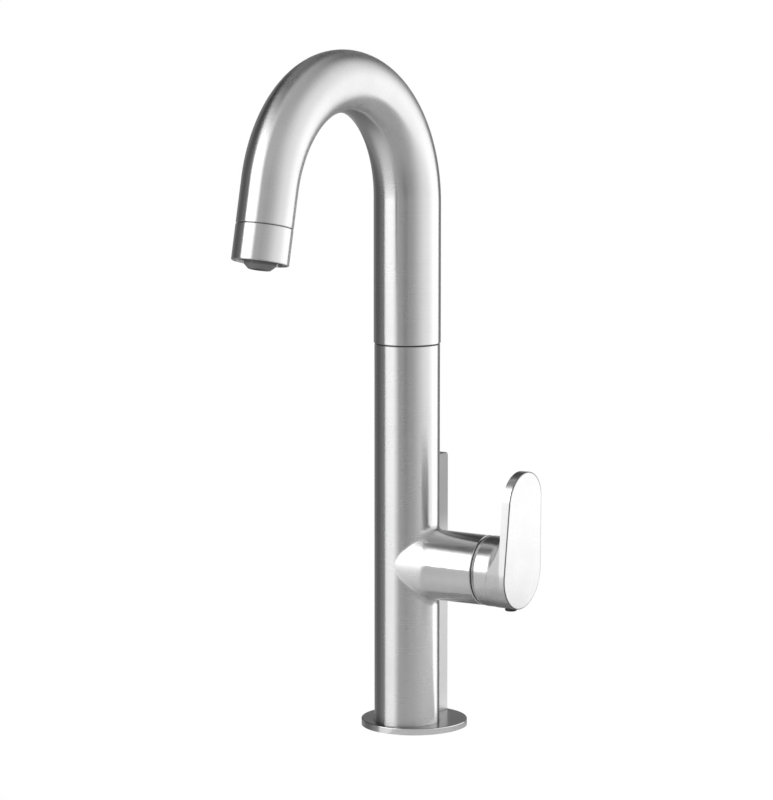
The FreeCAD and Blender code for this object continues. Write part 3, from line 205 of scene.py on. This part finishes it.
# A grey sheet on the table, to the front and right of the faucet. Only the metal sees it: it is
# what greys the mirror image on the foot of the column and under the hub.
sheet_radius, sheet_lift, sheet_grey = 0.45, 0.0001, (0.7, 0.7, 0.7, 1)
sheet_turns = np.radians(np.linspace(-30, 101, 24) + camera_bearing)
sheet_rim = [(math.cos(turn) * sheet_radius, math.sin(turn) * sheet_radius, sheet_lift)
             for turn in sheet_turns]
sheet_mesh = bpy.data.meshes.new("grey sheet")
sheet_mesh.from_pydata([(0, 0, sheet_lift)] + sheet_rim, [], [list(range(len(sheet_rim) + 1))])
sheet = in_scene("grey sheet", sheet_mesh)
sheet.visible_camera = False
sheet.visible_diffuse = False
sheet.visible_shadow = False
sheet_paint = bpy.data.materials.new("grey sheet")
sheet_paint.use_nodes = True
shader = sheet_paint.node_tree.nodes["Principled BSDF"]
shader.inputs["Base Color"].default_value = sheet_grey
shader.inputs["Roughness"].default_value = 1.0
sheet_mesh.materials.append(sheet_paint)

# Column and hub: one steel casting, brushed round and round on both its tubes. The brush leaves
# fine lines across each tube's length, so it mirrors sharply round the tube and smears along it.


def joined(tree, x=0.0, y=0.0, z=0.0):
    """A vector from three numbers or outputs."""
    made = tree.nodes.new("ShaderNodeCombineXYZ")
    for socket, term in zip(made.inputs, (x, y, z)):
        linked(tree, socket, term)
    return made.outputs[0]


def new_group(name, inputs, outputs):
    """An empty node group with named number and vector sockets."""
    group = bpy.data.node_groups.new(name, "ShaderNodeTree")
    for label, kind, value in inputs:
        socket = group.interface.new_socket(label, in_out="INPUT", socket_type=kind)
        if value is not None:
            socket.default_value = value
    for label, kind in outputs:
        group.interface.new_socket(label, in_out="OUTPUT", socket_type=kind)
    entry = group.nodes.new("NodeGroupInput")
    leave = group.nodes.new("NodeGroupOutput")
    return group, entry.outputs, leave.inputs


def scaled(tree, vector, across, along):
    """A position stretched for a pattern of lines: X by across, Y and Z by along."""
    times = tree.nodes.new("ShaderNodeVectorMath")
    times.operation = "MULTIPLY"
    tree.links.new(vector, times.inputs[0])
    tree.links.new(joined(tree, across, along, along), times.inputs[1])
    return times.outputs[0]


def noise_of(tree, vector, scale=1.0, detail=2.0, roughness=0.5):
    """A Noise texture's value on a position."""
    made = tree.nodes.new("ShaderNodeTexNoise")
    tree.links.new(vector, made.inputs["Vector"])
    made.inputs["Scale"].default_value = scale
    made.inputs["Detail"].default_value = detail
    made.inputs["Roughness"].default_value = roughness
    return made.outputs["Fac"]


# Brush lines: two bands of noise, one fine and one coarse, both drawn out along the stroke. X of
# the position runs across the lines. Lines and Stroke are how many a metre holds across and along
# them. Tone is 0.5 on average, and Height is for a Bump node.
coarser, longer, fine_share = 0.22, 0.5, 0.65
brush, given, gives = new_group(
    "brush lines",
    (("Position", "NodeSocketVector", None), ("Lines", "NodeSocketFloat", 2600.0),
     ("Stroke", "NodeSocketFloat", 6.0)),
    (("Tone", "NodeSocketFloat"), ("Height", "NodeSocketFloat")))
fine_place = scaled(brush, given["Position"], given["Lines"], given["Stroke"])
fine = noise_of(brush, fine_place, detail=3.0, roughness=0.65)
coarse_lines = math_of(brush, "MULTIPLY", given["Lines"], coarser)
coarse_stroke = math_of(brush, "MULTIPLY", given["Stroke"], longer)
coarse = noise_of(brush, scaled(brush, given["Position"], coarse_lines, coarse_stroke))
both = math_of(brush, "ADD", math_of(brush, "MULTIPLY", fine, fine_share),
               math_of(brush, "MULTIPLY", coarse, 1 - fine_share))
brush.links.new(both, gives["Tone"])
brush.links.new(fine, gives["Height"])

# Handling: the slow, faint cloudiness that wiping leaves on any metal or plastic.
handling, given, gives = new_group("handling", (("Position", "NodeSocketVector", None),),
                                   (("Cloud", "NodeSocketFloat"),))
slow = noise_of(handling, given["Position"], scale=34.0, detail=3.0, roughness=0.6)
handling.links.new(step_of(handling, slow, 0.3, 0.7), gives["Cloud"])


def new_material(name, color, metallic, roughness, anisotropy=0.0):
    """A material with its shader's plain values set, and the position that its patterns read."""
    made = bpy.data.materials.new(name)
    made.use_nodes = True
    tree = made.node_tree
    shader = tree.nodes["Principled BSDF"]
    shader.inputs["Base Color"].default_value = (*color, 1)
    shader.inputs["Metallic"].default_value = metallic
    shader.inputs["Roughness"].default_value = roughness
    shader.inputs["Anisotropic"].default_value = anisotropy
    place = tree.nodes.new("ShaderNodeTexCoord").outputs["Object"]
    return made, tree, shader, place


def placed(tree, group, **terms):
    """A node group put in a material, with its inputs given by name."""
    made = tree.nodes.new("ShaderNodeGroup")
    made.node_tree = group
    for label, term in terms.items():
        linked(tree, made.inputs[label], term)
    return made.outputs


def tinted(tree, shader, color, factor, spread):
    """Base Color that varies evenly about color with a 0 to 1 factor."""
    mix = tree.nodes.new("ShaderNodeMix")
    mix.data_type = "RGBA"
    linked(tree, mix.inputs["Factor"], factor)
    mix.inputs["A"].default_value = (*(tone * (1 - spread) for tone in color), 1)
    mix.inputs["B"].default_value = (*(min(tone * (1 + spread), 1) for tone in color), 1)
    tree.links.new(mix.outputs["Result"], shader.inputs["Base Color"])


def varied(tree, shader, factor, low, high):
    """Roughness that goes from low to high with a 0 to 1 factor."""
    tree.links.new(math_of(tree, "MULTIPLY_ADD", factor, high - low, low),
                   shader.inputs["Roughness"])


def bumped(tree, shader, height, depth):
    """A bump of a real depth in metres."""
    bump = tree.nodes.new("ShaderNodeBump")
    bump.inputs["Strength"].default_value = 1.0
    bump.inputs["Distance"].default_value = depth
    tree.links.new(height, bump.inputs["Height"])
    tree.links.new(bump.outputs["Normal"], shader.inputs["Normal"])


def mixed(tree, factor, first, second, kind="FLOAT"):
    """A Mix node between two numbers or vectors."""
    mix = tree.nodes.new("ShaderNodeMix")
    mix.data_type = kind
    tree.links.new(factor, mix.inputs["Factor"])
    slots = {"FLOAT": (2, 3, 0), "VECTOR": (4, 5, 1)}[kind]
    linked(tree, mix.inputs[slots[0]], first)
    linked(tree, mix.inputs[slots[1]], second)
    return mix.outputs[slots[2]]


def swapped(tree, place, order):
    """A position with its axes in another order, such as ZXY."""
    parts = dict(zip("XYZ", parts_of(tree, place)))
    return joined(tree, *(parts[letter] for letter in order))


def along_axis(tree, shader, axis):
    """Smear the mirror image along an axis of the piece, given as a vector or an output."""
    turned = tree.nodes.new("ShaderNodeVectorTransform")
    turned.vector_type = "VECTOR"
    turned.convert_from = "OBJECT"
    turned.convert_to = "WORLD"
    linked(tree, turned.inputs[0], axis)
    tree.links.new(turned.outputs[0], shader.inputs["Tangent"])


steel = (0.7, 0.7, 0.7)
brushed_roughness, brushed_smear = 0.27, 0.98
brushed_spread, brushed_depth, sheen_spread = 0.06, 0.000006, 0.04


def finish_brushed(tree, shader, place, tone, height, roughness, color=steel):
    """The last of every brushed surface: tone, sheen and bump from brush lines and handling."""
    cloud = placed(tree, handling, Position=place)["Cloud"]
    tinted(tree, shader, color, tone, brushed_spread)
    uneven = math_of(tree, "ADD", math_of(tree, "MULTIPLY", tone, 0.6),
                     math_of(tree, "MULTIPLY", cloud, 0.4))
    varied(tree, shader, uneven, roughness - sheen_spread, roughness + sheen_spread)
    bumped(tree, shader, height, brushed_depth)


tube_radius = 0.019
hub_from, hub_full, hub_smoother = tube_radius - 0.002, tube_radius + 0.007, 0.06
column_steel, tree, shader, place = new_material("brushed column", steel, 1.0, brushed_roughness,
                                                 brushed_smear)
on_hub = step_of(tree, parts_of(tree, place)[0], hub_from, hub_full)
upright = placed(tree, brush, Position=swapped(tree, place, "ZXY"))
sideways = placed(tree, brush, Position=place)
tone = mixed(tree, on_hub, upright["Tone"], sideways["Tone"])
height = mixed(tree, on_hub, upright["Height"], sideways["Height"])
finish_brushed(tree, shader, place, tone, height, brushed_roughness)
column_sheen = shader.inputs["Roughness"].links[0].from_socket
tree.links.new(math_of(tree, "MULTIPLY_ADD", on_hub, -hub_smoother, column_sheen),
               shader.inputs["Roughness"])
along_axis(tree, shader, mixed(tree, on_hub, (0, 0, 1), (1, 0, 0), "VECTOR"))


def reshaped(name, body, material, move):
    """A copy of a CAD piece with its points moved by a function, which takes the piece's place."""
    mesh = nodes[name].data.copy()
    points = np.empty(len(mesh.vertices) * 3)
    mesh.vertices.foreach_get("co", points)
    points = points.reshape(-1, 3)
    move(points)
    mesh.vertices.foreach_set("co", points.reshape(-1))
    mesh.materials.clear()
    mesh.materials.append(material)
    made = in_scene(name + "_form", mesh)
    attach(made, body)
    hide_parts(name)


seam_lift, lifted_from = 0.0036, 0.2


def lift_seam(points):
    """The seam with the spout lies a little higher in the photograph than in the CAD."""
    points[:, 2] += np.where(points[:, 2] > lifted_from, seam_lift, 0.0)


reshaped("column", "base", column_steel, lift_seam)

# Rear spine: a flat steel bar that stands on the flange behind the column, brushed along its length
# and welded on. Above the hub it is painted darker: a painted reflection of a darker part of the
# room.


def painted_dark(tree, shader, factor, share):
    """Base Color painted darker by a share where the 0 to 1 factor is 1: for painted shade and
    painted reflections of dark things.
    """
    before = shader.inputs["Base Color"].links[0].from_socket
    mix = tree.nodes.new("ShaderNodeMix")
    mix.data_type = "RGBA"
    tree.links.new(math_of(tree, "MULTIPLY", factor, share), mix.inputs["Factor"])
    tree.links.new(before, mix.inputs["A"])
    mix.inputs["B"].default_value = (0.01, 0.01, 0.01, 1)
    tree.links.new(mix.outputs["Result"], shader.inputs["Base Color"])


def dressed(material, *names):
    """CAD nodes that keep their mesh and get a finish."""
    for name in names:
        nodes[name].data.materials.clear()
        nodes[name].data.materials.append(material)


spine_color, spine_roughness, spine_smear = (0.66, 0.66, 0.66), 0.42, 0.8
shade_from, shade_full, spine_shade = 0.100, 0.125, 0.48
spine_steel, tree, shader, place = new_material("brushed spine", spine_color, 1.0,
                                                spine_roughness, spine_smear)
x, y, z = parts_of(tree, place)
lines = placed(tree, brush, Position=joined(tree, math_of(tree, "ADD", x, y), 0.0, z))
finish_brushed(tree, shader, place, lines["Tone"], lines["Height"], spine_roughness, spine_color)
along_axis(tree, shader, (0, 1, 0))
# Painted reflection: above the hub the spine's colour is painted darker.
painted_dark(tree, shader, step_of(tree, z, shade_from, shade_full), spine_shade)
dressed(spine_steel, "rear_spine")

# Base flange: a round steel plate, turned on a lathe, so that its lines are rings about its centre.
# It stands 8 mm behind the column's axis. Its top is painted darker than its rim: a painted
# reflection of the dark room. The creases round the column and the spine are painted dark: painted
# shade.


def distance_of(tree, x, y):
    """The length of (x, y)."""
    return math_of(tree, "SQRT", math_of(tree, "ADD", math_of(tree, "MULTIPLY", x, x),
                                         math_of(tree, "MULTIPLY", y, y)))


flange_middle, flange_top, flange_roughness, flange_smear = 0.008, 0.0038, 0.2, 0.6
rim_color, top_shade, crease_shade = (0.88, 0.88, 0.88), 0.7, 0.85
spine_half_width, spine_back, crease = 0.005, 0.0372, 0.0014
top_from, top_full = flange_top - 0.0004, flange_top - 0.0001
flange_steel, tree, shader, place = new_material("turned flange", steel, 1.0, flange_roughness,
                                                 flange_smear)
x, y, z = parts_of(tree, place)
from_middle = math_of(tree, "SUBTRACT", y, flange_middle)
radius = distance_of(tree, x, from_middle)
lines = placed(tree, brush, Position=joined(tree, math_of(tree, "ADD", radius, z)))
finish_brushed(tree, shader, place, lines["Tone"], lines["Height"], flange_roughness, rim_color)
on_top = step_of(tree, z, top_from, top_full)
# Painted reflection: the top is painted darker than the rim.
painted_dark(tree, shader, on_top, top_shade)
# Painted shade: the creases round the column and the spine are painted near black.
from_column = math_of(tree, "SUBTRACT", distance_of(tree, x, y), tube_radius)
beside_spine = math_of(tree, "SUBTRACT", math_of(tree, "ABSOLUTE", x), spine_half_width)
behind_spine = math_of(tree, "SUBTRACT", y, spine_back)
from_spine = math_of(tree, "MAXIMUM", beside_spine, behind_spine)
in_crease = step_of(tree, math_of(tree, "MINIMUM", from_column, from_spine), crease, 0.0)
painted_dark(tree, shader, math_of(tree, "MULTIPLY", on_top, in_crease), crease_shade)
outward = joined(tree, x, from_middle)
along_axis(tree, shader, mixed(tree, on_top, (0, 0, 1), outward, "VECTOR"))
dressed(flange_steel, "base_flange")

# Deck hardware: a threaded brass shank with its hexagon nut, a rubber and a zinc-plated washer that
# clamp the deck, the gasket under the flange, and the plastic guide that keeps hose and water tubes
# apart in the shank's mouth.


def plastic(name, color, roughness=0.45, grain=900.0, depth=0.00002):
    """Moulded plastic or rubber: a fine matt grain, a faint cloud of handling and a soft sheen."""
    made, tree, shader, place = new_material(name, color, 0.0, roughness)
    fleck = noise_of(tree, place, scale=grain, detail=3.0, roughness=0.6)
    cloud = placed(tree, handling, Position=place)["Cloud"]
    tinted(tree, shader, color, math_of(tree, "ADD", math_of(tree, "MULTIPLY", fleck, 0.5),
                                        math_of(tree, "MULTIPLY", cloud, 0.5)), 0.12)
    varied(tree, shader, cloud, roughness - 0.06, roughness + 0.06)
    bumped(tree, shader, fleck, depth)
    return made


def distance_along(tree, place, axis):
    """How far a position lies along an axis through the origin."""
    made = tree.nodes.new("ShaderNodeVectorMath")
    made.operation = "DOT_PRODUCT"
    tree.links.new(place, made.inputs[0])
    made.inputs[1].default_value = axis
    return made.outputs["Value"]


def lathe_turned(name, color, axis, roughness=0.28, pitch=0.0):
    """Metal turned on a lathe: fine rings across its axis, and where it has a pitch the ridges of a
    thread, which rise and fall evenly once in each pitch."""
    made, tree, shader, place = new_material(name, color, 1.0, roughness)
    along = distance_along(tree, place, axis)
    rings = placed(tree, brush, Position=joined(tree, along), Lines=1800.0)
    cloud = placed(tree, handling, Position=place)["Cloud"]
    tinted(tree, shader, color, math_of(tree, "ADD", math_of(tree, "MULTIPLY", rings["Tone"], 0.5),
                                        math_of(tree, "MULTIPLY", cloud, 0.5)), 0.14)
    varied(tree, shader, cloud, roughness - 0.05, roughness + 0.07)
    if pitch:
        ridge = math_of(tree, "PINGPONG", along, pitch / 2)
        bumped(tree, shader, math_of(tree, "MULTIPLY", ridge, 2 / pitch), pitch * 0.5)
    else:
        bumped(tree, shader, rings["Height"], 0.00004)
    return made


brass, zinc = (0.72, 0.56, 0.28), (0.6, 0.62, 0.63)
shank_pitch = 0.0015
black_rubber = plastic("black rubber", (0.03, 0.03, 0.03), 0.7, 1400.0, 0.00004)
white_acetal = plastic("white acetal", (0.78, 0.78, 0.76))
black_acetal = plastic("black acetal", (0.022, 0.022, 0.023), 0.42)
dressed(black_rubber, "flange_gasket", "rubber_washer")
dressed(white_acetal, "hose_guide")
dressed(lathe_turned("threaded brass", brass, (0, 0, 1), pitch=shank_pitch), "mounting_shank")
dressed(lathe_turned("zinc plate", zinc, (0.7, 0.7, 0), 0.36), "steel_washer")
dressed(lathe_turned("milled brass", brass, (0.8, 0.6, 0), 0.32), "lock_nut")

# Swivel: a brass post in the column's top, two acetal bushes and a sprung clip on it, the brass
# collar in the spout, and the black ring in the seam that the spout turns on.
plain_steel = (0.55, 0.56, 0.57)
upright_brass = lathe_turned("turned brass, upright", brass, (0, 0, 1))
spring_steel = lathe_turned("spring steel", plain_steel, (0, 0, 1), 0.25)
dressed(upright_brass, "swivel_post", "swivel_collar")
dressed(white_acetal, "lower_bush", "upper_bush")
reshaped("glide_ring", "base", black_acetal, lift_seam)
dressed(spring_steel, "retaining_clip")

# Gooseneck: a steel tube, 38.8 mm thick at its root and drawn down evenly to 31.6 mm at the outlet,
# bent to an arch and brushed round and round, so that its lines follow the bend.
root_radius, outlet_radius, spout_wall = 0.0194, 0.0158, 0.0016
arch_radius, arch_foot, arch_sweep = 0.070, 0.308, math.radians(167)
spout_foot, outlet_run, head_gap = 0.2224 + seam_lift, 0.022, 0.0003
corner_steps = 4
corner_points = corner_steps + 2


def softened(profile, reach):
    """A closed profile with each corner rounded: a quadratic curve that leaves and joins the sides
    at reach from the corner, and a point a little beyond it on each side, which keeps the shading
    flat up to the corner."""
    corners = np.array(profile, float)
    before = np.roll(corners, 1, axis=0) - corners
    after = np.roll(corners, -1, axis=0) - corners
    start = corners + before / np.linalg.norm(before, axis=1)[:, None] * reach
    end = corners + after / np.linalg.norm(after, axis=1)[:, None] * reach
    t = np.linspace(0, 1, corner_steps)[None, :, None]
    curve = (1 - t) ** 2 * start[:, None] + 2 * t * (1 - t) * corners[:, None]
    curve = curve + t ** 2 * end[:, None]
    beyond = 1.3
    lead = corners[:, None] + (start - corners)[:, None] * beyond
    tail = corners[:, None] + (end - corners)[:, None] * beyond
    return np.concatenate([lead, curve, tail], axis=1).reshape(-1, 2)


def bent(along, foot, bend, crown, sweep):
    """Points of a path in the plane of the spout: straight up from foot to crown, round an arc of
    radius bend, and straight on. Gives the place and the turn of the arc, both for each distance
    along it."""
    upright = crown - foot
    turn = np.clip((along - upright) / bend, 0, sweep)
    before = np.minimum(along, upright)
    beyond = np.maximum(along - upright - bend * sweep, 0)
    y = bend * (np.cos(turn) - 1) - np.sin(turn) * beyond
    z = foot + before + bend * np.sin(turn) + np.cos(turn) * beyond
    return y, z, turn


def tube(name, along, radius, path, sides=96, closed=True):
    """A tube about a path: ring i has its own place along the path and its own radius, and point
    (i, j) lies on ring i at the angle 2 pi j / sides. Its UV is the distance drawn so far, and the
    angle as a share. The last ring joins the first where it is closed, as a hollow tube is;
    otherwise each end gets a flat face."""
    y, z, turn = bent(along, *path)
    angle = np.linspace(0, 2 * np.pi, sides, endpoint=False)
    out = np.outer(radius, np.sin(angle))
    points = np.stack([np.outer(radius, np.cos(angle)), y[:, None] + out * np.cos(turn)[:, None],
                       z[:, None] + out * np.sin(turn)[:, None]], axis=-1)
    rings = len(along)
    row = np.arange(rings if closed else rings - 1)[:, None]
    column = np.arange(sides)[None, :]
    next_row, next_column = (row + 1) % rings, (column + 1) % sides
    quads = np.stack([row * sides + column, row * sides + next_column,
                      next_row * sides + next_column, next_row * sides + column],
                     axis=-1).reshape(-1, 4)
    drawn = np.hypot(np.diff(along, append=along[0]), np.diff(radius, append=radius[0])).cumsum()
    drawn = np.concatenate([[0], drawn])
    low = np.broadcast_to(drawn[:-1][row], (len(row), sides))
    high = np.broadcast_to(drawn[1:][row], (len(row), sides))
    left = np.broadcast_to(column / sides, low.shape)
    right = left + 1 / sides
    uv = np.stack([np.stack([low, low, high, high], -1), np.stack([left, right, right, left], -1)],
                  -1)
    last_ring = range((rings - 1) * sides, rings * sides)
    ends = [] if closed else [list(range(sides))[::-1], list(last_ring)]
    mesh = bpy.data.meshes.new(name)
    mesh.from_pydata(points.reshape(-1, 3).tolist(), [], quads.tolist() + ends)
    uv = np.concatenate([uv.reshape(-1), np.zeros(2 * sides * len(ends))])
    mesh.uv_layers.new(name="drawn").data.foreach_set("uv", uv)
    smooth = np.arange(len(mesh.polygons)) < len(quads)
    mesh.polygons.foreach_set("use_smooth", smooth)
    return in_scene(name, mesh)


def drawn_of(tree):
    """The UV of a tube: the distance drawn along it, and the share of the way round it."""
    made = tree.nodes.new("ShaderNodeUVMap")
    made.uv_map = "drawn"
    return parts_of(tree, made.outputs["UV"])[:2]


bend_start = arch_foot - spout_foot
bend_end = bend_start + arch_radius * arch_sweep
spout_end = bend_end + outlet_run - head_gap / 2
edge = 0.0004
rims = softened([
    (0, root_radius - spout_wall), (0, root_radius - edge / 2), (edge / 2, root_radius),
    (spout_end - edge, outlet_radius), (spout_end, outlet_radius - edge),
    (spout_end, outlet_radius - spout_wall)], 0.00008)
root_rim, outlet_rim = rims[:3 * corner_points], rims[3 * corner_points:]
upright_rings = np.linspace(0.004, bend_start * 0.97, 8)
bends = np.linspace(bend_start, bend_end, 97)
bent_share = (bends - bend_start) / (bend_end - bend_start)
taper = root_radius + (outlet_radius - root_radius) * bent_share
along = np.concatenate([root_rim[:, 0], upright_rings, bends, outlet_rim[:, 0], bends[::-1]])
radius = np.concatenate([root_rim[:, 1], np.full(len(upright_rings), root_radius), taper,
                         outlet_rim[:, 1], taper[::-1] - spout_wall])
spout_path = (spout_foot, arch_radius, arch_foot, arch_sweep)
gooseneck = tube("gooseneck", along, radius, spout_path)
spout_steel, tree, shader, place = new_material("brushed spout", steel, 1.0, brushed_roughness,
                                                brushed_smear)
drawn = drawn_of(tree)[0]
x, y, z = parts_of(tree, place)
lines = placed(tree, brush, Position=joined(tree, drawn, x, math_of(tree, "ADD", y, z)))
finish_brushed(tree, shader, place, lines["Tone"], lines["Height"], brushed_roughness)
drawn_way = tree.nodes.new("ShaderNodeTangent")
drawn_way.direction_type = "UV_MAP"
drawn_way.uv_map = "drawn"
tree.links.new(drawn_way.outputs["Tangent"], shader.inputs["Tangent"])
gooseneck.data.materials.append(spout_steel)
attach(gooseneck, "spout")
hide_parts("spout_tube")

# Dock: a black acetal sleeve pressed into the spout's end, with a nickel-plated ring magnet in its
# foot, which holds the spray head by its steel ring.
outlet_axis = (0.0, -math.sin(arch_sweep), math.cos(arch_sweep))
nickel_plate = (0.5, 0.5, 0.51)
dressed(black_acetal, "dock")
dressed(lathe_turned("plated magnet", nickel_plate, outlet_axis, 0.2), "dock_magnet")

# Spray hose: a black braided hose of 11 mm. It comes up the column, goes round the arch and ends in
# the ferrule of the spray head. The last of the bend is made as a piece of its own.
hose_radius, hose_foot, hose_lead, hose_tail = 0.0055, -0.062, 0.008, 0.006
hose_bend = arch_radius - hose_lead / math.tan(arch_sweep / 2)
hose_crown = arch_foot + hose_lead
hose_path = (hose_foot, hose_bend, hose_crown, arch_sweep)
crown_at = hose_crown - hose_foot + hose_bend * math.pi / 2
hose_end = hose_crown - hose_foot + hose_bend * arch_sweep + hose_tail
strands, strand_pitch, strand_depth, strand_contrast = 16.0, 0.03, 0.0006, 0.6
braid, tree, shader, place = new_material("braided hose", (0.05, 0.05, 0.052), 0.0, 0.5)
drawn, share = drawn_of(tree)
round_share = math_of(tree, "MULTIPLY", share, strands)
turns = math_of(tree, "MULTIPLY", drawn, strands / strand_pitch)
one_way = math_of(tree, "PINGPONG", math_of(tree, "ADD", turns, round_share), 0.5)
other_way = math_of(tree, "PINGPONG", math_of(tree, "SUBTRACT", turns, round_share), 0.5)
strand = math_of(tree, "MAXIMUM", one_way, other_way)
strand_tone = math_of(tree, "MULTIPLY", strand, 2.0)
tinted(tree, shader, (0.07, 0.07, 0.073), strand_tone, strand_contrast)
varied(tree, shader, placed(tree, handling, Position=place)["Cloud"], 0.4, 0.6)
bumped(tree, shader, strand, strand_depth)
hose_rings, hose_sides, follows_from = 120, 32, math.radians(140)
for name, start, finish in (("hose_run", 0.0, crown_at), ("hose_lead", crown_at, hose_end)):
    hose = tube(name, np.linspace(start, finish, hose_rings), np.full(hose_rings, hose_radius),
                hose_path, hose_sides, False)
    hose.data.materials.append(braid)
    if name == "hose_run":
        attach(hose, "spout")
        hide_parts("spray_hose")
    else:
        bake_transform(hose)

# Spray head: a brushed steel shell over a black plastic body, a steel ring that the magnet holds,
# and a dark face round the aerator. The hose ends in a crimped steel ferrule and a brass fitting.
head_steel, tree, shader, place = new_material("brushed spray head", steel, 1.0,
                                               brushed_roughness, brushed_smear)
x, y = parts_of(tree, place)[:2]
along_head = distance_along(tree, place, outlet_axis)
lines = placed(tree, brush, Position=joined(tree, along_head, x, y))
finish_brushed(tree, shader, place, lines["Tone"], lines["Height"], brushed_roughness)
along_axis(tree, shader, outlet_axis)
dressed(head_steel, "spray_shell")
dressed(black_acetal, "spray_body", "spray_face")
turned_steel = lathe_turned("turned steel, head", plain_steel, outlet_axis, 0.25)
dressed(turned_steel, "catch_ring", "hose_ferrule")
dressed(lathe_turned("turned brass, head", brass, outlet_axis), "hose_fitting")

# Aerator: a grey plastic cartridge whose tapered nose stands out of the shell, with a screen of
# fine holes in its mouth, both turned about the outlet's axis. Rubber seals and an acetal check
# valve lie above it in the waterway.
grey_acetal = plastic("grey acetal", (0.2, 0.2, 0.203), 0.3)
head_seam = bend_end + outlet_run
# The nose's closed profile, each point a distance from the head's seam and a radius.
nose = softened([(0.0081, 0.0064), (0.0081, 0.0087), (0.0212, 0.0087), (0.0236, 0.0061),
                 (0.0236, 0.0048), (0.0216, 0.0048), (0.0216, 0.0035), (0.0081, 0.0035)], 0.00025)
nose_sides = 64
aerator = tube("aerator_form", head_seam + nose[:, 0], nose[:, 1], spout_path, nose_sides)
aerator.data.materials.append(grey_acetal)
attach(aerator, "spray_head")
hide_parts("aerator")
screen_grey, screen_radius = (0.12, 0.12, 0.122), 0.00478
mesh_screen, tree, shader, place = new_material("fine screen", screen_grey, 0.0, 0.4)
cells = tree.nodes.new("ShaderNodeTexVoronoi")
tree.links.new(place, cells.inputs["Vector"])
cells.inputs["Scale"].default_value = 700.0
hole = step_of(tree, cells.outputs["Distance"], 0.42, 0.34)
tinted(tree, shader, screen_grey, placed(tree, handling, Position=place)["Cloud"], 0.15)
# Painted shade: the screen's holes are painted dark, the shade inside them, with a shallow bump.
painted_dark(tree, shader, hole, 0.9)
bumped(tree, shader, hole, -0.0003)
screen_at = head_seam + np.linspace(0.0217, 0.0226, 4)
screen = tube("screen_form", screen_at, np.full(len(screen_at), screen_radius), spout_path,
              nose_sides, False)
screen.data.materials.append(mesh_screen)
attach(screen, "spray_head")
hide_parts("aerator_screen")
dressed(black_rubber, "aerator_seal", "hose_seal")
dressed(white_acetal, "check_valve")

# Mixing valve in the hub: a brass core, a rubber seal, and an acetal cartridge with two polished
# ceramic discs and a steel stem, held by a slotted brass nut. The black trim ring closes the gap to
# the lever.
alumina = (0.86, 0.85, 0.82)
ceramic, tree, shader, place = new_material("polished ceramic", alumina, 0.0, 0.12)
speckle = noise_of(tree, place, scale=700.0)
tinted(tree, shader, alumina, speckle, 0.04)
varied(tree, shader, speckle, 0.08, 0.16)
bumped(tree, shader, speckle, 0.000005)
dressed(lathe_turned("turned brass, hub", brass, (1, 0, 0)), "valve_core", "ring_nut")
dressed(black_rubber, "port_seal")
dressed(white_acetal, "cartridge_base", "cartridge_housing")
dressed(ceramic, "fixed_disc", "moving_disc")
dressed(black_acetal, "trim_ring")
dressed(lathe_turned("turned steel, hub", plain_steel, (1, 0, 0), 0.25), "valve_stem")

# Lever: a steel casting. Its round skirt is brushed round and round like the hub, and its flat
# blade up and down; a band round the blade's face, at its fine chamfer, is painted dark: a painted
# reflection. A small black cap under it closes the hole of the screw that clamps it to the stem.
lever_roughness, lever_smear, chamfer_shade = 0.28, 0.6, 0.75
foot_round, top_round, top_middle, hub_height = 0.02045, 0.0178, 0.0412, 0.098
blade_from, blade_full = 0.0725, 0.0745
face_x, face_lean = 0.0779, math.tan(math.radians(2.5))
face_from, face_full = face_x - 0.0006, face_x - 0.0003
chamfer_from, chamfer_full = 0.0009, 0.0003
lever_steel, tree, shader, place = new_material("brushed lever", steel, 1.0, lever_roughness,
                                                lever_smear)
x, y, z = parts_of(tree, place)
on_blade = step_of(tree, x, blade_from, blade_full)
skirt_lines = placed(tree, brush, Position=place)
blade_lines = placed(tree, brush, Position=swapped(tree, place, "YZX"))
tone = mixed(tree, on_blade, skirt_lines["Tone"], blade_lines["Tone"])
height = mixed(tree, on_blade, skirt_lines["Height"], blade_lines["Height"])
finish_brushed(tree, shader, place, tone, height, lever_roughness)
along_axis(tree, shader, mixed(tree, on_blade, (1, 0, 0), (0, 1, 0), "VECTOR"))
up_blade = math_of(tree, "SUBTRACT", z, hub_height)
on_line = math_of(tree, "MINIMUM", math_of(tree, "MAXIMUM", up_blade, 0.0), top_middle)
edge_round = math_of(tree, "MULTIPLY_ADD", on_line, (top_round - foot_round) / top_middle,
                     foot_round)
from_line = distance_of(tree, y, math_of(tree, "SUBTRACT", up_blade, on_line))
to_edge = math_of(tree, "SUBTRACT", edge_round, from_line)
leaning = math_of(tree, "MULTIPLY_ADD", up_blade, -face_lean, x)
on_face = step_of(tree, leaning, face_from, face_full)
on_chamfer = math_of(tree, "MULTIPLY", on_face,
                     step_of(tree, to_edge, chamfer_from, chamfer_full))
# Painted reflection: the chamfer band round the blade's face is painted dark.
painted_dark(tree, shader, on_chamfer, chamfer_shade)
thicker, wider, root_clear, root_run, blade_reach = 0.0007, 0.06, 0.018, 0.012, 0.004


def fill_blade(points):
    """The blade is 0.7 mm thicker and its rounded top 1 mm wider on each side in the photograph
    than in the CAD. The inner face moves in by thicker, along a smooth step that starts above the
    root, and the width grows evenly from the hub's axis to the middle of the rounded top."""
    up = points[:, 2] - hub_height
    points[:, 1] *= 1 + wider * np.clip(up / top_middle, 0, 1)
    inner = points[:, 0] < face_x + up * face_lean - blade_reach
    share = np.clip((up - root_clear) / root_run, 0, 1)
    points[:, 0] -= np.where(inner, thicker * share * share * (3 - 2 * share), 0.0)


reshaped("lever", "lever", lever_steel, fill_blade)
dressed(lathe_turned("clamp screw steel", nickel_plate, (0, 0, 1), pitch=0.0008), "clamp_screw")
dressed(black_acetal, "screw_cap")
